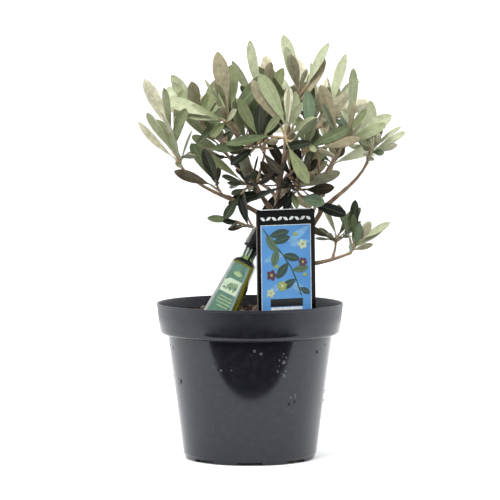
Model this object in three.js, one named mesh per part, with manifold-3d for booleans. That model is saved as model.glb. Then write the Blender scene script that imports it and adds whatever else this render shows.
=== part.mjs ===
// Potted young olive: a short leaning trunk with a bushy crown, standing in a round nursery
// pot with a plant card and a small square oil bottle pushed into the soil beside it.
// Millimetres, +Z up. The origin is the middle of the pot's underside, the front faces -Y,
// and a heading of 0 degrees points to +X and one of 90 degrees to +Y.

import * as THREE from "three";
import { mergeVertices } from "three/addons/utils/BufferGeometryUtils.js";
import Module from "manifold-3d";

const wasm = await Module();
wasm.setup();

// Room left between touching pieces
const GAP = 0.3;

// Pot
const POT_HEIGHT = 141.5;
const POT_SIDES = 36;
const RIM_RADIUS = 85;
const COLLAR_FOOT_RADIUS = 81.6;
const COLLAR_HEIGHT = 25.5;
const BODY_TOP_RADIUS = 75.2;
const BODY_FOOT_RADIUS = 61.1;
const BODY_FOOT_HEIGHT = 8;
const FOOT_RADIUS = 58.8;
const FOOT_WIDTH = 4.4;
const WALL = 1.5;
const EDGE = 1.8;
const BASE_RAISE = 3;
const BASE_THICKNESS = 1.6;
const PAD_RADIUS = 12;
const DRAIN_COUNT = 8;
const DRAIN_RADIUS = 4.5;
const DRAIN_CIRCLE = 45;
const NOTCH_COUNT = 8;
const NOTCH_WIDTH = 22;
const NOTCH_HEIGHT = 2.6;

// Soil
const SOIL_LEVEL = 131.5;
const SOIL_RINGS = [77, 48, 20];
const MOUND = 1.6;
const MOUND_LENGTH = 12;
const SEAT_RADIUS = 12.5;

// Trunk
const TRUNK_FOOT = [11, 3, SOIL_LEVEL];
const TRUNK_TIP = [23.7, 2, 221];
const TRUNK_LEAN = [0, 66];
const TRUNK_ARRIVAL = [180, 76];
const TRUNK_SUNK = 4;
const TRUNK_STEPS = 10;
const TRUNK_SIDES = 8;
const TRUNK_RADIUS = 6.3;
const TRUNK_TIP_RADIUS = 3.1;
const TRUNK_FLARE = 3.4;
const FLARE_FADE = 16;

// Each bough is a curve that leaves its parent at a share of the parent's length. A row holds
// its name, its parent, that share, the heading and climb it leaves with, its tip, the
// heading and climb it arrives with, and its radius at both ends.
const BOUGHS = [
  ["right", "trunk", 0.66, [0, 12], [65.5, 2, 226], [0, 62], [3.6, 2.5]],
  ["right_top", "right", 0.96, [175, 80], [78, -10, 275], [0, 52], [2.1, 1.5]],
  ["far_right", "right", 1, [0, 45], [105, 5, 266], [0, 62], [2.3, 1.5]],
  ["low_right", "trunk", 0.52, [345, -8], [89, -14, 187], [355, 22], [2.9, 1.6]],
  ["low_inner", "low_right", 0.78, [80, 55], [78, 5, 195], [80, 75], [1.5, 1.2]],
  ["low_left", "trunk", 0.78, [215, 20], [5, -11, 210], [190, 20], [1.8, 1.3]],
  ["far_left", "trunk", 0.82, [176, 58], [-61, -8, 264], [180, 52], [2.7, 1.4]],
  ["left_middle", "far_left", 0.5, [240, 60], [-27, -13, 243], [215, 60], [1.4, 1.2]],
  ["left", "trunk", 1, [180, 48], [2.7, -2, 255], [180, 68], [2.7, 2]],
  ["left_front", "left", 1, [205, 72], [-18, -25, 302], [180, 52], [1.9, 1.4]],
  ["left_inner", "left", 0.85, [270, 65], [-3, -16, 279], [250, 75], [1.5, 1.2]],
  ["left_top", "left_front", 0.25, [110, 68], [-12, 6, 299], [120, 78], [1.5, 1.2]],
  ["left_back", "left_front", 0.5, [140, 35], [-41, 12, 300], [160, 60], [1.4, 1.2]],
  ["centre", "trunk", 1, [60, 80], [26, 12, 249], [70, 84], [2.8, 2.2]],
  ["top_left", "centre", 1, [200, 82], [15, 5, 308], [175, 68], [1.9, 1.4]],
  ["top", "centre", 0.97, [345, 72], [42, 2, 313], [0, 74], [1.9, 1.4]],
  ["back_right", "centre", 0.8, [45, 50], [64, 52, 305], [30, 58], [1.9, 1.3]],
  ["back_top", "back_right", 0.45, [130, 72], [36, 29, 299], [120, 80], [1.5, 1.2]],
  ["front", "centre", 0.25, [278, 40], [31, -48, 290], [280, 66], [1.9, 1.4]],
  ["front_left", "front", 0.5, [200, 60], [11, -32, 282], [190, 70], [1.4, 1.2]],
  ["front_right", "front", 0.4, [0, 45], [48, -31, 277], [340, 68], [1.4, 1.2]],
  ["centre_left", "left", 0.35, [220, 50], [4, -17, 245], [195, 45], [1.5, 1.2]],
  ["centre_right", "centre", 0.4, [320, 45], [41, -12, 243], [350, 52], [1.6, 1.2]],
  ["centre_back", "centre", 0.3, [95, 40], [32, 32, 242], [60, 50], [1.5, 1.2]],
  ["right_inner", "right_top", 0.4, [110, 70], [60, 14, 295], [110, 76], [1.4, 1.2]],
  ["back_left", "centre", 0.5, [120, 42], [-18, 46, 270], [150, 52], [1.9, 1.4]],
  ["back", "back_left", 0.45, [80, 52], [14, 56, 284], [90, 66], [1.5, 1.2]],
  ["back_low", "right", 0.62, [80, 45], [74, 40, 260], [40, 60], [1.7, 1.3]],
];
const BOUGH_STEPS = 6;
const BOUGH_SIDES = 5;
const HANDLE = 0.35;

// Each mass of foliage grows from the tip of the bough of its name. After the length and
// width of its leaves, a shoot's row holds the share of the stem where it leaves, its
// heading, climb and length, and its number of leaf pairs. The first shoot is the stem.
const MASSES = [
  ["far_left", [51, 13], [0, 180, 64, 37, 4], [0.15, 180, 44, 8, 1], [0.4, 182, 46, 8, 1],
    [0.35, 10, 30, 12, 1], [0.3, 265, 50, 9, 1]],
  ["left_front", [53, 14], [0, 168, 76, 13, 3], [0.4, 184, 22, 9, 2], [0.5, 20, 62, 10, 1]],
  ["left_middle", [40, 12], [0, 186, 58, 8, 2]],
  ["left_inner", [42, 12], [0, 250, 78, 14, 3], [0.4, 185, 30, 12, 1], [0.3, 350, 40, 12, 2]],
  ["left_top", [42, 12], [0, 130, 82, 14, 3], [0.4, 20, 35, 12, 2]],
  ["left_back", [44, 12], [0, 160, 60, 14, 3], [0.4, 120, 30, 16, 2], [0.5, 30, 50, 10, 1]],
  ["top_left", [48, 13], [0, 180, 69, 24, 3], [0.4, 175, 44, 10, 2], [0.35, 75, 45, 14, 2]],
  ["top", [46, 12], [0, 0, 78, 26, 3], [0.7, 355, 48, 12, 1], [0.6, 180, 80, 8, 1], [0.2, 180, 50, 10, 1]],
  ["back_right", [50, 13.5], [0, 0, 46, 20, 3], [0.4, 115, 50, 15, 2], [0.3, 60, 20, 16, 2]],
  ["back_top", [44, 12], [0, 120, 78, 18, 3], [0.4, 80, 35, 12, 1], [0.4, 190, 40, 12, 1]],
  ["right_top", [51, 13], [0, 5, 58, 28, 3], [0.5, 10, 40, 9, 1], [0.5, 180, 70, 14, 2],
    [0.2, 200, 40, 8, 1]],
  ["far_right", [42, 13], [0, 350, 62, 21, 4], [0.5, 20, 75, 8, 1], [0.6, 175, 66, 10, 1],
    [0.3, 90, 50, 9, 1]],
  ["right_inner", [40, 12], [0, 100, 76, 14, 3], [0.4, 20, 30, 10, 2], [0.4, 190, 30, 10, 1],
    [0.1, 350, -15, 10, 1]],
  ["front", [50, 15], [0, 310, 80, 13, 2], [0.2, 300, -15, 10, 1], [0.5, 190, 60, 9, 1],
    [0.4, 170, 0, 12, 1]],
  ["front_left", [38, 12], [0, 205, 62, 12, 3], [0.3, 190, -5, 10, 2], [0.2, 340, -10, 10, 1]],
  ["front_right", [42, 12], [0, 335, 58, 15, 3], [0.4, 350, 5, 11, 2], [0.2, 200, -10, 12, 1]],
  ["centre_left", [38, 11], [0, 190, 28, 13, 3], [0.3, 240, 66, 10, 2], [0.2, 330, 30, 12, 1],
    [0.2, 300, -30, 14, 2]],
  ["centre_right", [42, 12], [0, 350, 52, 16, 3], [0.3, 0, -5, 10, 2], [0.4, 190, 50, 12, 2],
    [0.2, 280, 10, 8, 1], [0.3, 285, -35, 14, 2], [0.6, 215, -10, 14, 2]],
  ["centre_back", [42, 12], [0, 40, 55, 14, 3], [0.3, 0, 10, 12, 2], [0.3, 170, 25, 14, 2],
    [0.3, 300, -25, 14, 2]],
  ["low_left", [28, 9], [0, 184, 14, 18, 3], [0.3, 175, 55, 8, 1]],
  ["low_right", [38, 13], [0, 0, 60, 13, 3], [0.3, 220, -12, 12, 1], [0.5, 170, 76, 9, 1],
    [0.6, 350, 40, 8, 1]],
  ["low_inner", [30, 12], [0, 275, 56, 8, 2], [0.5, 190, 20, 6, 1]],
  ["back_left", [50, 13.5], [0, 145, 50, 26, 3], [0.3, 205, 38, 16, 2], [0.5, 75, 62, 18, 2]],
  ["back", [50, 13.5], [0, 92, 60, 22, 3], [0.4, 30, 35, 16, 2], [0.5, 160, 50, 14, 1]],
  ["back_low", [46, 13], [0, 40, 58, 20, 3], [0.35, 85, 30, 16, 2], [0.5, 0, 70, 12, 1]],
];

// A mass reaches this many times the length of its stem and a leaf from its bough's tip
const REACH = 1.2;

// Shoots rise by this many degrees over their length
const SHOOT_RISE = 14;
const TWIG_SIDES = 3;
const TWIG_RADIUS = 1.25;
const TWIG_TIP_RADIUS = 0.85;

// Leaf blades, as sizes and shares of their length or width
const LEAF_THICKNESS = 1.1;
const LEAF_ROOT = 0.6;
const LEAF_WIDE_AT = 0.4;
const LEAF_NARROW_AT = 0.78;
const LEAF_NARROW_SHARE = 0.8;

// How leaves stand: degrees between leaf and shoot, turns to try, and how widely each varies
const SPLAY = 42;
const LAST_SPLAY = 17;
const SPLAY_SPREAD = 18;
const ROLL_SPREAD = 50;
const TURNS = [0, 30, -30, 60, -60];
const LEAF_LIFT = 0.12;
const FACE_SPREAD = 120;
const FACE_CLIMB = 25;
const FACE_SHARE = 0.7;
const STEM_SHARE = 0.4;
const UNDERSIDE_BELOW = 0.35;
const LENGTH_SPREAD = 0.24;
const WIDTH_SPREAD = 0.2;
const FIRST_PAIR_SHARE = 0.88;
const DROOP = 0.1;
const DROOP_SPREAD = 0.12;

// Plant card on a tapering stake
const CARD_WIDTH = 56;
const CARD_TOP = 229.2;
const CARD_FOOT = 124;
const CARD_THICKNESS = 0.8;
const CARD_CORNER = 3.6;
const CARD_PLACE = [33, -40];
const CARD_TILT = 0.9;
const CARD_TURN = 20;
const STAKE_WIDTH = 15;
const STAKE_TIP_WIDTH = 4;
const STAKE_LENGTH = 58;

// Square oil bottle
const BOTTLE_FOOT = [-32.6, -20, 121];
const BOTTLE_LEAN = 26;
const BOTTLE_TURN = 9;
const BOTTLE_SIDE = 29;
const BOTTLE_SHOULDER_SIDE = 21;
const BOTTLE_BODY = 63;
const BOTTLE_SHOULDER = 6;
const BOTTLE_CORNER = 3;
const NECK_RADIUS = 6;
const NECK_LENGTH = 11;
const CAP_RADIUS = 9.2;
const CAP_TOP_RADIUS = 7.6;
const CAP_LENGTH = 17.5;

const radians = THREE.MathUtils.degToRad;
const point = (xyz) => new THREE.Vector3(...xyz);

function direction(heading, climb) {
  const level = Math.cos(radians(climb));
  const [x, y] = [Math.cos(radians(heading)), Math.sin(radians(heading))];
  return point([level * x, level * y, Math.sin(radians(climb))]);
}

// A number from 0 to 1 that depends only on its keys
function chance(...keys) {
  const scales = [12.9898, 78.233, 37.719, 4.581, 91.17];
  const wave = Math.sin(keys.reduce((sum, key, i) => sum + (key + 1) * scales[i], 0)) * 43758.5453;
  return wave - Math.floor(wave);
}

function toSolid(geometry) {
  geometry.deleteAttribute("normal");
  geometry.deleteAttribute("uv");
  const merged = mergeVertices(geometry, 1e-4);
  const mesh = new wasm.Mesh({
    numProp: 3,
    vertProperties: new Float32Array(merged.attributes.position.array),
    triVerts: new Uint32Array(merged.index.array),
  });
  return new wasm.Manifold(mesh);
}

function toGeometry(solid) {
  const mesh = solid.getMesh();
  const geometry = new THREE.BufferGeometry();
  geometry.setAttribute("position", new THREE.BufferAttribute(mesh.vertProperties, 3));
  geometry.setIndex(new THREE.BufferAttribute(mesh.triVerts, 1));
  geometry.computeVertexNormals();
  return geometry;
}

// The largest part of a solid, without loose scraps and with sealed hollows filled
function largest(solid) {
  return solid.decompose().reduce((best, piece) => (piece.volume() > best.volume() ? piece : best));
}

function indexed(points, faces) {
  const geometry = new THREE.BufferGeometry().setFromPoints(points);
  geometry.setIndex(faces.flat());
  return geometry;
}

// A closed skin over rings of points that turn anticlockwise about the way they advance
function loft(rings) {
  const count = rings[0].length;
  const last = (rings.length - 1) * count;
  const faces = [];
  for (let i = 0; i < last; i += count) {
    for (let j = 0; j < count; j++) {
      const next = (j + 1) % count;
      faces.push([i + j, i + next, i + next + count], [i + j, i + next + count, i + j + count]);
    }
  }
  for (let j = 1; j < count - 1; j++) {
    faces.push([0, j + 1, j], [last, last + j, last + j + 1]);
  }
  return indexed(rings.flat(), faces);
}

// Rings along a path, each turned as little as possible from the one before
function tube(path, radiusAt, sides) {
  const rings = [];
  let side = null;
  path.forEach((centre, i) => {
    const ahead = path[Math.min(i + 1, path.length - 1)].clone().sub(path[Math.max(i - 1, 0)]).normalize();
    side ??= Math.abs(ahead.z) < 0.9 ? point([0, 0, 1]) : point([1, 0, 0]);
    side = side.clone().addScaledVector(ahead, -side.dot(ahead)).normalize();
    const across = ahead.clone().cross(side);
    const radius = radiusAt(i / (path.length - 1));
    const ring = [];
    for (let j = 0; j < sides; j++) {
      const turn = (2 * Math.PI * j) / sides;
      const spoke = side.clone().multiplyScalar(Math.cos(turn)).addScaledVector(across, Math.sin(turn));
      ring.push(centre.clone().addScaledVector(spoke, radius));
    }
    rings.push(ring);
  });
  return toSolid(loft(rings));
}

function lathe(profile, sides) {
  const outline = profile.map(([radius, height]) => new THREE.Vector2(radius, height));
  return toSolid(new THREE.LatheGeometry(outline, sides).rotateX(Math.PI / 2));
}

function block(size, centre, turn = 0) {
  return toSolid(new THREE.BoxGeometry(...size).translate(...centre).rotateZ(turn));
}

function upright(radius, height, centre, sides = 12) {
  const cylinder = new THREE.CylinderGeometry(radius, radius, height, sides);
  return toSolid(cylinder.rotateX(Math.PI / 2).translate(...centre));
}

// Pot

function innerRadius(height) {
  const step = POT_HEIGHT - COLLAR_HEIGHT;
  if (height > step) {
    const share = (height - step) / COLLAR_HEIGHT;
    return THREE.MathUtils.lerp(COLLAR_FOOT_RADIUS, RIM_RADIUS, share) - WALL;
  }
  const share = (height - BODY_FOOT_HEIGHT) / (step - BODY_FOOT_HEIGHT);
  return THREE.MathUtils.lerp(BODY_FOOT_RADIUS, BODY_TOP_RADIUS, share) - WALL;
}

function makePot() {
  const step = POT_HEIGHT - COLLAR_HEIGHT;
  const floor = BASE_RAISE + BASE_THICKNESS;
  const profile = [
    [0, 0],
    [PAD_RADIUS, 0],
    [PAD_RADIUS + EDGE, BASE_RAISE],
    [FOOT_RADIUS - FOOT_WIDTH - EDGE, BASE_RAISE],
    [FOOT_RADIUS - FOOT_WIDTH, 0],
    [FOOT_RADIUS, 0],
    [BODY_FOOT_RADIUS - EDGE / 2, BODY_FOOT_HEIGHT / 2],
    [BODY_FOOT_RADIUS, BODY_FOOT_HEIGHT],
    [BODY_TOP_RADIUS, step - EDGE],
    [(BODY_TOP_RADIUS + COLLAR_FOOT_RADIUS) / 2, step - EDGE / 4],
    [COLLAR_FOOT_RADIUS - EDGE, step],
    [COLLAR_FOOT_RADIUS, step + EDGE],
    [RIM_RADIUS - EDGE / 5, POT_HEIGHT - EDGE],
    [RIM_RADIUS - EDGE / 2, POT_HEIGHT],
    [RIM_RADIUS - WALL, POT_HEIGHT],
    [innerRadius(POT_HEIGHT - EDGE), POT_HEIGHT - EDGE],
    [innerRadius(step + EDGE), step + EDGE],
    [innerRadius(step - WALL), step - WALL],
    [innerRadius(BODY_FOOT_HEIGHT), BODY_FOOT_HEIGHT],
    [FOOT_RADIUS - 2 * WALL, floor],
    [0, floor],
  ];
  let pot = lathe(profile, POT_SIDES);
  for (let i = 0; i < DRAIN_COUNT; i++) {
    const turn = (2 * Math.PI * (i + 0.5)) / DRAIN_COUNT;
    const centre = [DRAIN_CIRCLE * Math.cos(turn), DRAIN_CIRCLE * Math.sin(turn), floor / 2];
    pot = pot.subtract(upright(DRAIN_RADIUS, 3 * floor, centre, 8));
  }
  for (let i = 0; i < NOTCH_COUNT; i++) {
    const turn = (2 * Math.PI * i) / NOTCH_COUNT - Math.PI / 2;
    const size = [3 * FOOT_WIDTH, NOTCH_WIDTH, 2 * NOTCH_HEIGHT];
    pot = pot.subtract(block(size, [FOOT_RADIUS, 0, 0], turn));
  }
  return largest(pot);
}

// Soil, with low mounds, a level seat for the trunk, and slots for what stands in it

function makeSoil(standing) {
  const floor = BASE_RAISE + BASE_THICKNESS + GAP;
  const step = POT_HEIGHT - COLLAR_HEIGHT;
  const side = (height, lift) => [innerRadius(height) - 1.2 * GAP, height + lift];
  const top = SOIL_RINGS.map((radius) => [radius, SOIL_LEVEL]);
  const profile = [
    [0, floor],
    [FOOT_RADIUS - 2.5 * WALL, floor],
    side(BODY_FOOT_HEIGHT, GAP),
    side(step - WALL, GAP),
    side(step + EDGE, 2 * GAP),
    side(SOIL_LEVEL - 2 * MOUND, 0),
    ...top,
    [0, SOIL_LEVEL],
  ];
  const outline = profile.map(([radius, height]) => new THREE.Vector2(radius, height));
  const geometry = new THREE.LatheGeometry(outline, POT_SIDES).rotateX(Math.PI / 2);
  const places = geometry.attributes.position;
  for (let i = 0; i < places.count; i++) {
    if (places.getZ(i) > SOIL_LEVEL - MOUND) {
      const wave = Math.sin(places.getX(i) / MOUND_LENGTH + 1) * Math.cos(places.getY(i) / MOUND_LENGTH);
      places.setZ(i, SOIL_LEVEL + MOUND * wave - GAP);
    }
  }
  const seat = upright(SEAT_RADIUS, 10, [TRUNK_FOOT[0], TRUNK_FOOT[1], SOIL_LEVEL - GAP + 5], 16);
  return largest(standing.reduce((sum, piece) => sum.subtract(piece), toSolid(geometry).subtract(seat)));
}

// Trunk and boughs

const limbs = new Map();

function trunkRadius(share) {
  const taper = THREE.MathUtils.lerp(TRUNK_RADIUS, TRUNK_TIP_RADIUS, share);
  return taper + TRUNK_FLARE * Math.exp(-FLARE_FADE * share);
}

function bend(start, leave, tip, arrive) {
  const handle = HANDLE * start.distanceTo(tip);
  const first = start.clone().addScaledVector(direction(...leave), handle);
  const second = tip.clone().addScaledVector(direction(...arrive), -handle);
  return new THREE.CubicBezierCurve3(start, first, second, tip);
}

// The trunk's tube starts a little below the soil and is cut flat at the soil's level
function makeTrunk() {
  const foot = point(TRUNK_FOOT);
  const curve = bend(foot, TRUNK_LEAN, point(TRUNK_TIP), TRUNK_ARRIVAL);
  const sunk = foot.clone().addScaledVector(direction(...TRUNK_LEAN), -TRUNK_SUNK);
  const path = [sunk, ...curve.getPoints(TRUNK_STEPS)];
  const radius = (share) => trunkRadius(Math.max(0, share - 1 / (TRUNK_STEPS + 1)));
  const ground = block([60, 60, 20], [TRUNK_FOOT[0], TRUNK_FOOT[1], SOIL_LEVEL - 10]);
  const grown = tube(path, (share) => radius(share) + GAP, TRUNK_SIDES);
  const solid = largest(tube(path, radius, TRUNK_SIDES).subtract(ground));
  limbs.set("trunk", { solid, grown, curve });
}

function makeBough([name, parent, share, leave, tip, arrive, radii]) {
  const curve = bend(limbs.get(parent).curve.getPoint(share), leave, point(tip), arrive);
  const path = curve.getPoints(BOUGH_STEPS);
  const heading = direction(...arrive);
  const radius = (along) => THREE.MathUtils.lerp(...radii, along);
  let solid = tube(path, radius, BOUGH_SIDES);
  for (const limb of limbs.values()) {
    solid = solid.subtract(limb.grown);
  }
  const longer = [...path, point(tip).addScaledVector(heading, GAP)];
  const grown = tube(longer, (along) => radius(along) + GAP, BOUGH_SIDES);
  limbs.set(name, { solid: largest(solid), grown, curve, heading, tipRadius: radii[1] });
}

// Leaves and masses

// A narrow pointed blade with a keel below, bent back a little towards its tip
function leafSolid({ root, along, face, length, width, droop }, extra = 0) {
  const across = face.clone().cross(along);
  const place = (share, side, up) =>
    root.clone()
      .addScaledVector(along, share * length)
      .addScaledVector(across, side)
      .addScaledVector(face, up - droop * length * share * share);
  const half = width / 2 + extra;
  const narrow = half * LEAF_NARROW_SHARE;
  const keel = -LEAF_THICKNESS - extra;
  const points = [
    place(0, -LEAF_ROOT, LEAF_ROOT / 2),
    place(0, LEAF_ROOT, LEAF_ROOT / 2),
    place(0, 0, -LEAF_ROOT),
    place(LEAF_WIDE_AT, -half, extra),
    place(LEAF_WIDE_AT, half, extra),
    place(LEAF_WIDE_AT, 0, keel),
    place(LEAF_NARROW_AT, -narrow, extra),
    place(LEAF_NARROW_AT, narrow, extra),
    place(1 + extra / length, 0, 0),
  ];
  const upper = [[0, 4, 1], [0, 3, 4], [3, 7, 4], [3, 6, 7], [6, 8, 7]];
  const under = [[0, 5, 3], [0, 2, 5], [1, 5, 2], [1, 4, 5], [3, 5, 6], [4, 7, 5], [6, 5, 8], [7, 8, 5]];
  return toSolid(indexed(points, [...upper, ...under, [0, 1, 2]]));
}

function shootPath(start, heading, climb, length, steps) {
  const path = [start];
  for (let i = 0; i < steps; i++) {
    const rise = climb + SHOOT_RISE * ((i + 0.5) / steps);
    path.push(path[i].clone().addScaledVector(direction(heading, rise), length / steps));
  }
  return path;
}

function pathPoint(path, share) {
  const place = share * (path.length - 1);
  const before = Math.min(Math.floor(place), path.length - 2);
  return path[before].clone().lerp(path[before + 1], place - before);
}

// One leaf of a pair. A shoot's last pair stands to its left and right, the pair before it
// to its front and back, and so on; a blade turns its broad face towards the front or back.
function leafAt(keys, path, pair, side, [length, width], turn) {
  const luck = (kind) => chance(...keys, pair, side, kind) - 0.5;
  const last = path.length - 1;
  const stem = path[pair].clone().sub(path[pair - 1]).normalize();
  const sideways = stem.clone().cross(direction(90, 0)).addScaledVector(stem, 0.01).normalize();
  const forwards = stem.clone().cross(sideways);
  const roll = radians(90 * (last - pair) + 180 * side + ROLL_SPREAD * luck(0) + turn);
  const outward = sideways.multiplyScalar(Math.cos(roll)).addScaledVector(forwards, Math.sin(roll));
  const splay = radians((pair === last ? LAST_SPLAY : SPLAY) + SPLAY_SPREAD * luck(1));
  const along = stem.clone().multiplyScalar(Math.cos(splay)).addScaledVector(outward, Math.sin(splay));
  along.z += LEAF_LIFT;
  along.normalize();
  const shown = chance(...keys, pair, side, 6) > UNDERSIDE_BELOW ? FACE_SHARE : -FACE_SHARE;
  const face = direction(270 + FACE_SPREAD * luck(2), FACE_CLIMB).multiplyScalar(shown);
  face.addScaledVector(stem, STEM_SHARE);
  face.addScaledVector(along, -face.dot(along)).normalize();
  return {
    root: path[pair].clone().addScaledVector(outward, -LEAF_ROOT / 2),
    along,
    face,
    length: length * (1 + LENGTH_SPREAD * luck(3)) * (pair === 1 ? FIRST_PAIR_SHARE : 1),
    width: width * (1 + WIDTH_SPREAD * luck(4)),
    droop: DROOP + DROOP_SPREAD * luck(5),
  };
}

function touches(solid, others) {
  const box = solid.boundingBox();
  return others.some(({ body, bounds }) => {
    const apart = [0, 1, 2].some((k) => box.min[k] > bounds.max[k] || box.max[k] < bounds.min[k]);
    return !apart && !solid.intersect(body).isEmpty();
  });
}

const withBounds = (body) => ({ body, bounds: body.boundingBox() });

function makeMass([name, size, ...shoots], number, others) {
  const limb = limbs.get(name);
  const tip = limb.curve.getPoint(1);
  const reach = REACH * (shoots[0][3] + size[0]);
  const foot = tip.clone().addScaledVector(limb.heading, 1.5 * GAP);
  const twigs = [];
  const leaves = [];
  let stem = null;
  shoots.forEach(([share, heading, climb, length, pairs], order) => {
    const path = shootPath(stem ? pathPoint(stem, share) : foot, heading, climb, length, pairs);
    if (!stem) {
      path.splice(1, 0, foot.clone().addScaledVector(limb.heading, limb.tipRadius));
      stem = path;
    }
    const radius = order === 0 ? limb.tipRadius : TWIG_RADIUS;
    const taper = (along) => THREE.MathUtils.lerp(radius, TWIG_TIP_RADIUS, along);
    const twig = (extra) => tube(path, (along) => taper(along) + extra, TWIG_SIDES);
    if (touches(twig(GAP), others)) {
      return;
    }
    twigs.push(twig(0));
    for (let pair = order === 0 ? 2 : 1; pair < path.length; pair++) {
      for (const side of [0, 1]) {
        const tries = TURNS.map((turn) => leafAt([number, order], path, pair, side, size, turn));
        const leaf = tries.find((one) => {
          const leafTip = one.root.clone().addScaledVector(one.along, one.length);
          return leafTip.distanceTo(tip) < reach && !touches(leafSolid(one, GAP), [...others, ...leaves]);
        });
        if (leaf) {
          leaves.push(withBounds(leafSolid(leaf)));
        }
      }
    }
  });
  return largest(leaves.reduce((sum, { body }) => sum.add(body), twigs.reduce((sum, twig) => sum.add(twig))));
}

// Card and bottle

function cardShape(extra) {
  const half = CARD_WIDTH / 2 + extra;
  const neck = STAKE_WIDTH / 2 + extra;
  const tip = STAKE_TIP_WIDTH / 2 + extra;
  const top = CARD_TOP + extra;
  const shape = new THREE.Shape();
  shape.moveTo(-tip, CARD_FOOT - STAKE_LENGTH - extra);
  shape.lineTo(tip, CARD_FOOT - STAKE_LENGTH - extra);
  shape.lineTo(neck, CARD_FOOT - extra);
  shape.lineTo(half, CARD_FOOT - extra);
  shape.lineTo(half, top - CARD_CORNER);
  shape.absarc(half - CARD_CORNER, top - CARD_CORNER, CARD_CORNER, 0, Math.PI / 2);
  shape.lineTo(CARD_CORNER - half, top);
  shape.absarc(CARD_CORNER - half, top - CARD_CORNER, CARD_CORNER, Math.PI / 2, Math.PI);
  shape.lineTo(-half, CARD_FOOT - extra);
  shape.lineTo(-neck, CARD_FOOT - extra);
  return shape;
}

function makeCard(extra) {
  const depth = CARD_THICKNESS + 2 * extra;
  const options = { depth, bevelEnabled: false, curveSegments: 4 };
  const geometry = new THREE.ExtrudeGeometry(cardShape(extra), options);
  geometry.rotateX(Math.PI / 2);
  geometry.translate(0, depth / 2, -CARD_FOOT);
  geometry.rotateY(-radians(CARD_TILT));
  geometry.rotateZ(radians(CARD_TURN));
  geometry.translate(CARD_PLACE[0], CARD_PLACE[1], CARD_FOOT);
  return toSolid(geometry);
}

function squareRing(side, height, corner) {
  const ring = [];
  for (let i = 0; i < 16; i++) {
    const quarter = Math.floor(i / 4);
    const turn = (Math.PI / 2) * (quarter + (i % 4) / 3);
    const middle = side / 2 - corner;
    const signs = [[1, 1], [-1, 1], [-1, -1], [1, -1]][quarter];
    ring.push(point([
      signs[0] * middle + corner * Math.cos(turn),
      signs[1] * middle + corner * Math.sin(turn),
      height,
    ]));
  }
  return ring;
}

function standBottle(solid) {
  const place = new THREE.Matrix4().makeTranslation(...BOTTLE_FOOT)
    .multiply(new THREE.Matrix4().makeRotationY(radians(BOTTLE_LEAN)))
    .multiply(new THREE.Matrix4().makeRotationZ(-radians(BOTTLE_TURN)));
  return toSolid(toGeometry(solid).applyMatrix4(place));
}

function makeBottle(extra) {
  const shoulder = BOTTLE_BODY + BOTTLE_SHOULDER;
  const neck = NECK_RADIUS + extra;
  const corner = BOTTLE_CORNER + extra;
  const side = (width) => width + 2 * extra;
  const rings = [
    squareRing(side(BOTTLE_SIDE - 1), -extra, corner),
    squareRing(side(BOTTLE_SIDE), BOTTLE_CORNER / 2, corner),
    squareRing(side(BOTTLE_SHOULDER_SIDE), BOTTLE_BODY, corner),
    squareRing(side(BOTTLE_SHOULDER_SIDE - BOTTLE_CORNER), BOTTLE_BODY + BOTTLE_SHOULDER / 2, 1.5 * corner),
    squareRing(2 * neck, shoulder, neck - 0.01),
    squareRing(2 * neck, shoulder + NECK_LENGTH, neck - 0.01),
  ];
  return standBottle(toSolid(loft(rings)));
}

function makeCap() {
  const foot = BOTTLE_BODY + BOTTLE_SHOULDER + NECK_LENGTH + GAP;
  const cone = new THREE.CylinderGeometry(CAP_TOP_RADIUS, CAP_RADIUS, CAP_LENGTH, 16);
  return standBottle(toSolid(cone.rotateX(Math.PI / 2).translate(0, 0, foot + CAP_LENGTH / 2)));
}

// Assembly

const finish = (color, roughness) => new THREE.MeshStandardMaterial({ color, roughness, metalness: 0 });
const looks = {
  pot: finish(0x24262a, 0.35),
  soil: finish(0x2b211b, 0.95),
  bark: finish(0x8a6f58, 0.85),
  foliage: finish(0x7c8a68, 0.6),
  card: finish(0x4f93bf, 0.4),
  bottle: finish(0x4c7a5c, 0.15),
  bottle_cap: finish(0x111214, 0.4),
};

const plant = new THREE.Group();

function place(name, solid, look) {
  const mesh = new THREE.Mesh(toGeometry(solid), looks[look]);
  mesh.name = name;
  plant.add(mesh);
}

place("pot", makePot(), "pot");
place("soil", makeSoil([makeCard(GAP), makeBottle(GAP)]), "soil");

makeTrunk();
BOUGHS.forEach(makeBough);
const standing = { card: makeCard(0), bottle: makeBottle(0), bottle_cap: makeCap() };
limbs.forEach(({ solid }, name) => place(name === "trunk" ? name : `bough_${name}`, solid, "bark"));
Object.entries(standing).forEach(([name, solid]) => place(name, solid, name));

const grown = [...limbs.values()].map(({ solid }) => withBounds(solid));
grown.push(...Object.values(standing).map(withBounds));
MASSES.forEach((row, number) => {
  const mass = makeMass(row, number, grown);
  grown.push(withBounds(mass));
  place(`foliage_${row[0]}`, mass, "foliage");
});

export default plant;
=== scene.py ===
# Potted young olive: the looks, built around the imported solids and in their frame.
# Sizes are millimetres until a mesh is made. The tables of boughs and masses and the rule
# by which the crown grows are those of the part's own source, carried on to finer growth.

import math
from itertools import count
from math import cos, pi, radians, sin

import bmesh
import bpy
import numpy as np
from mathutils import Matrix, Vector, noise
from mathutils.bvhtree import BVHTree


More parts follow.
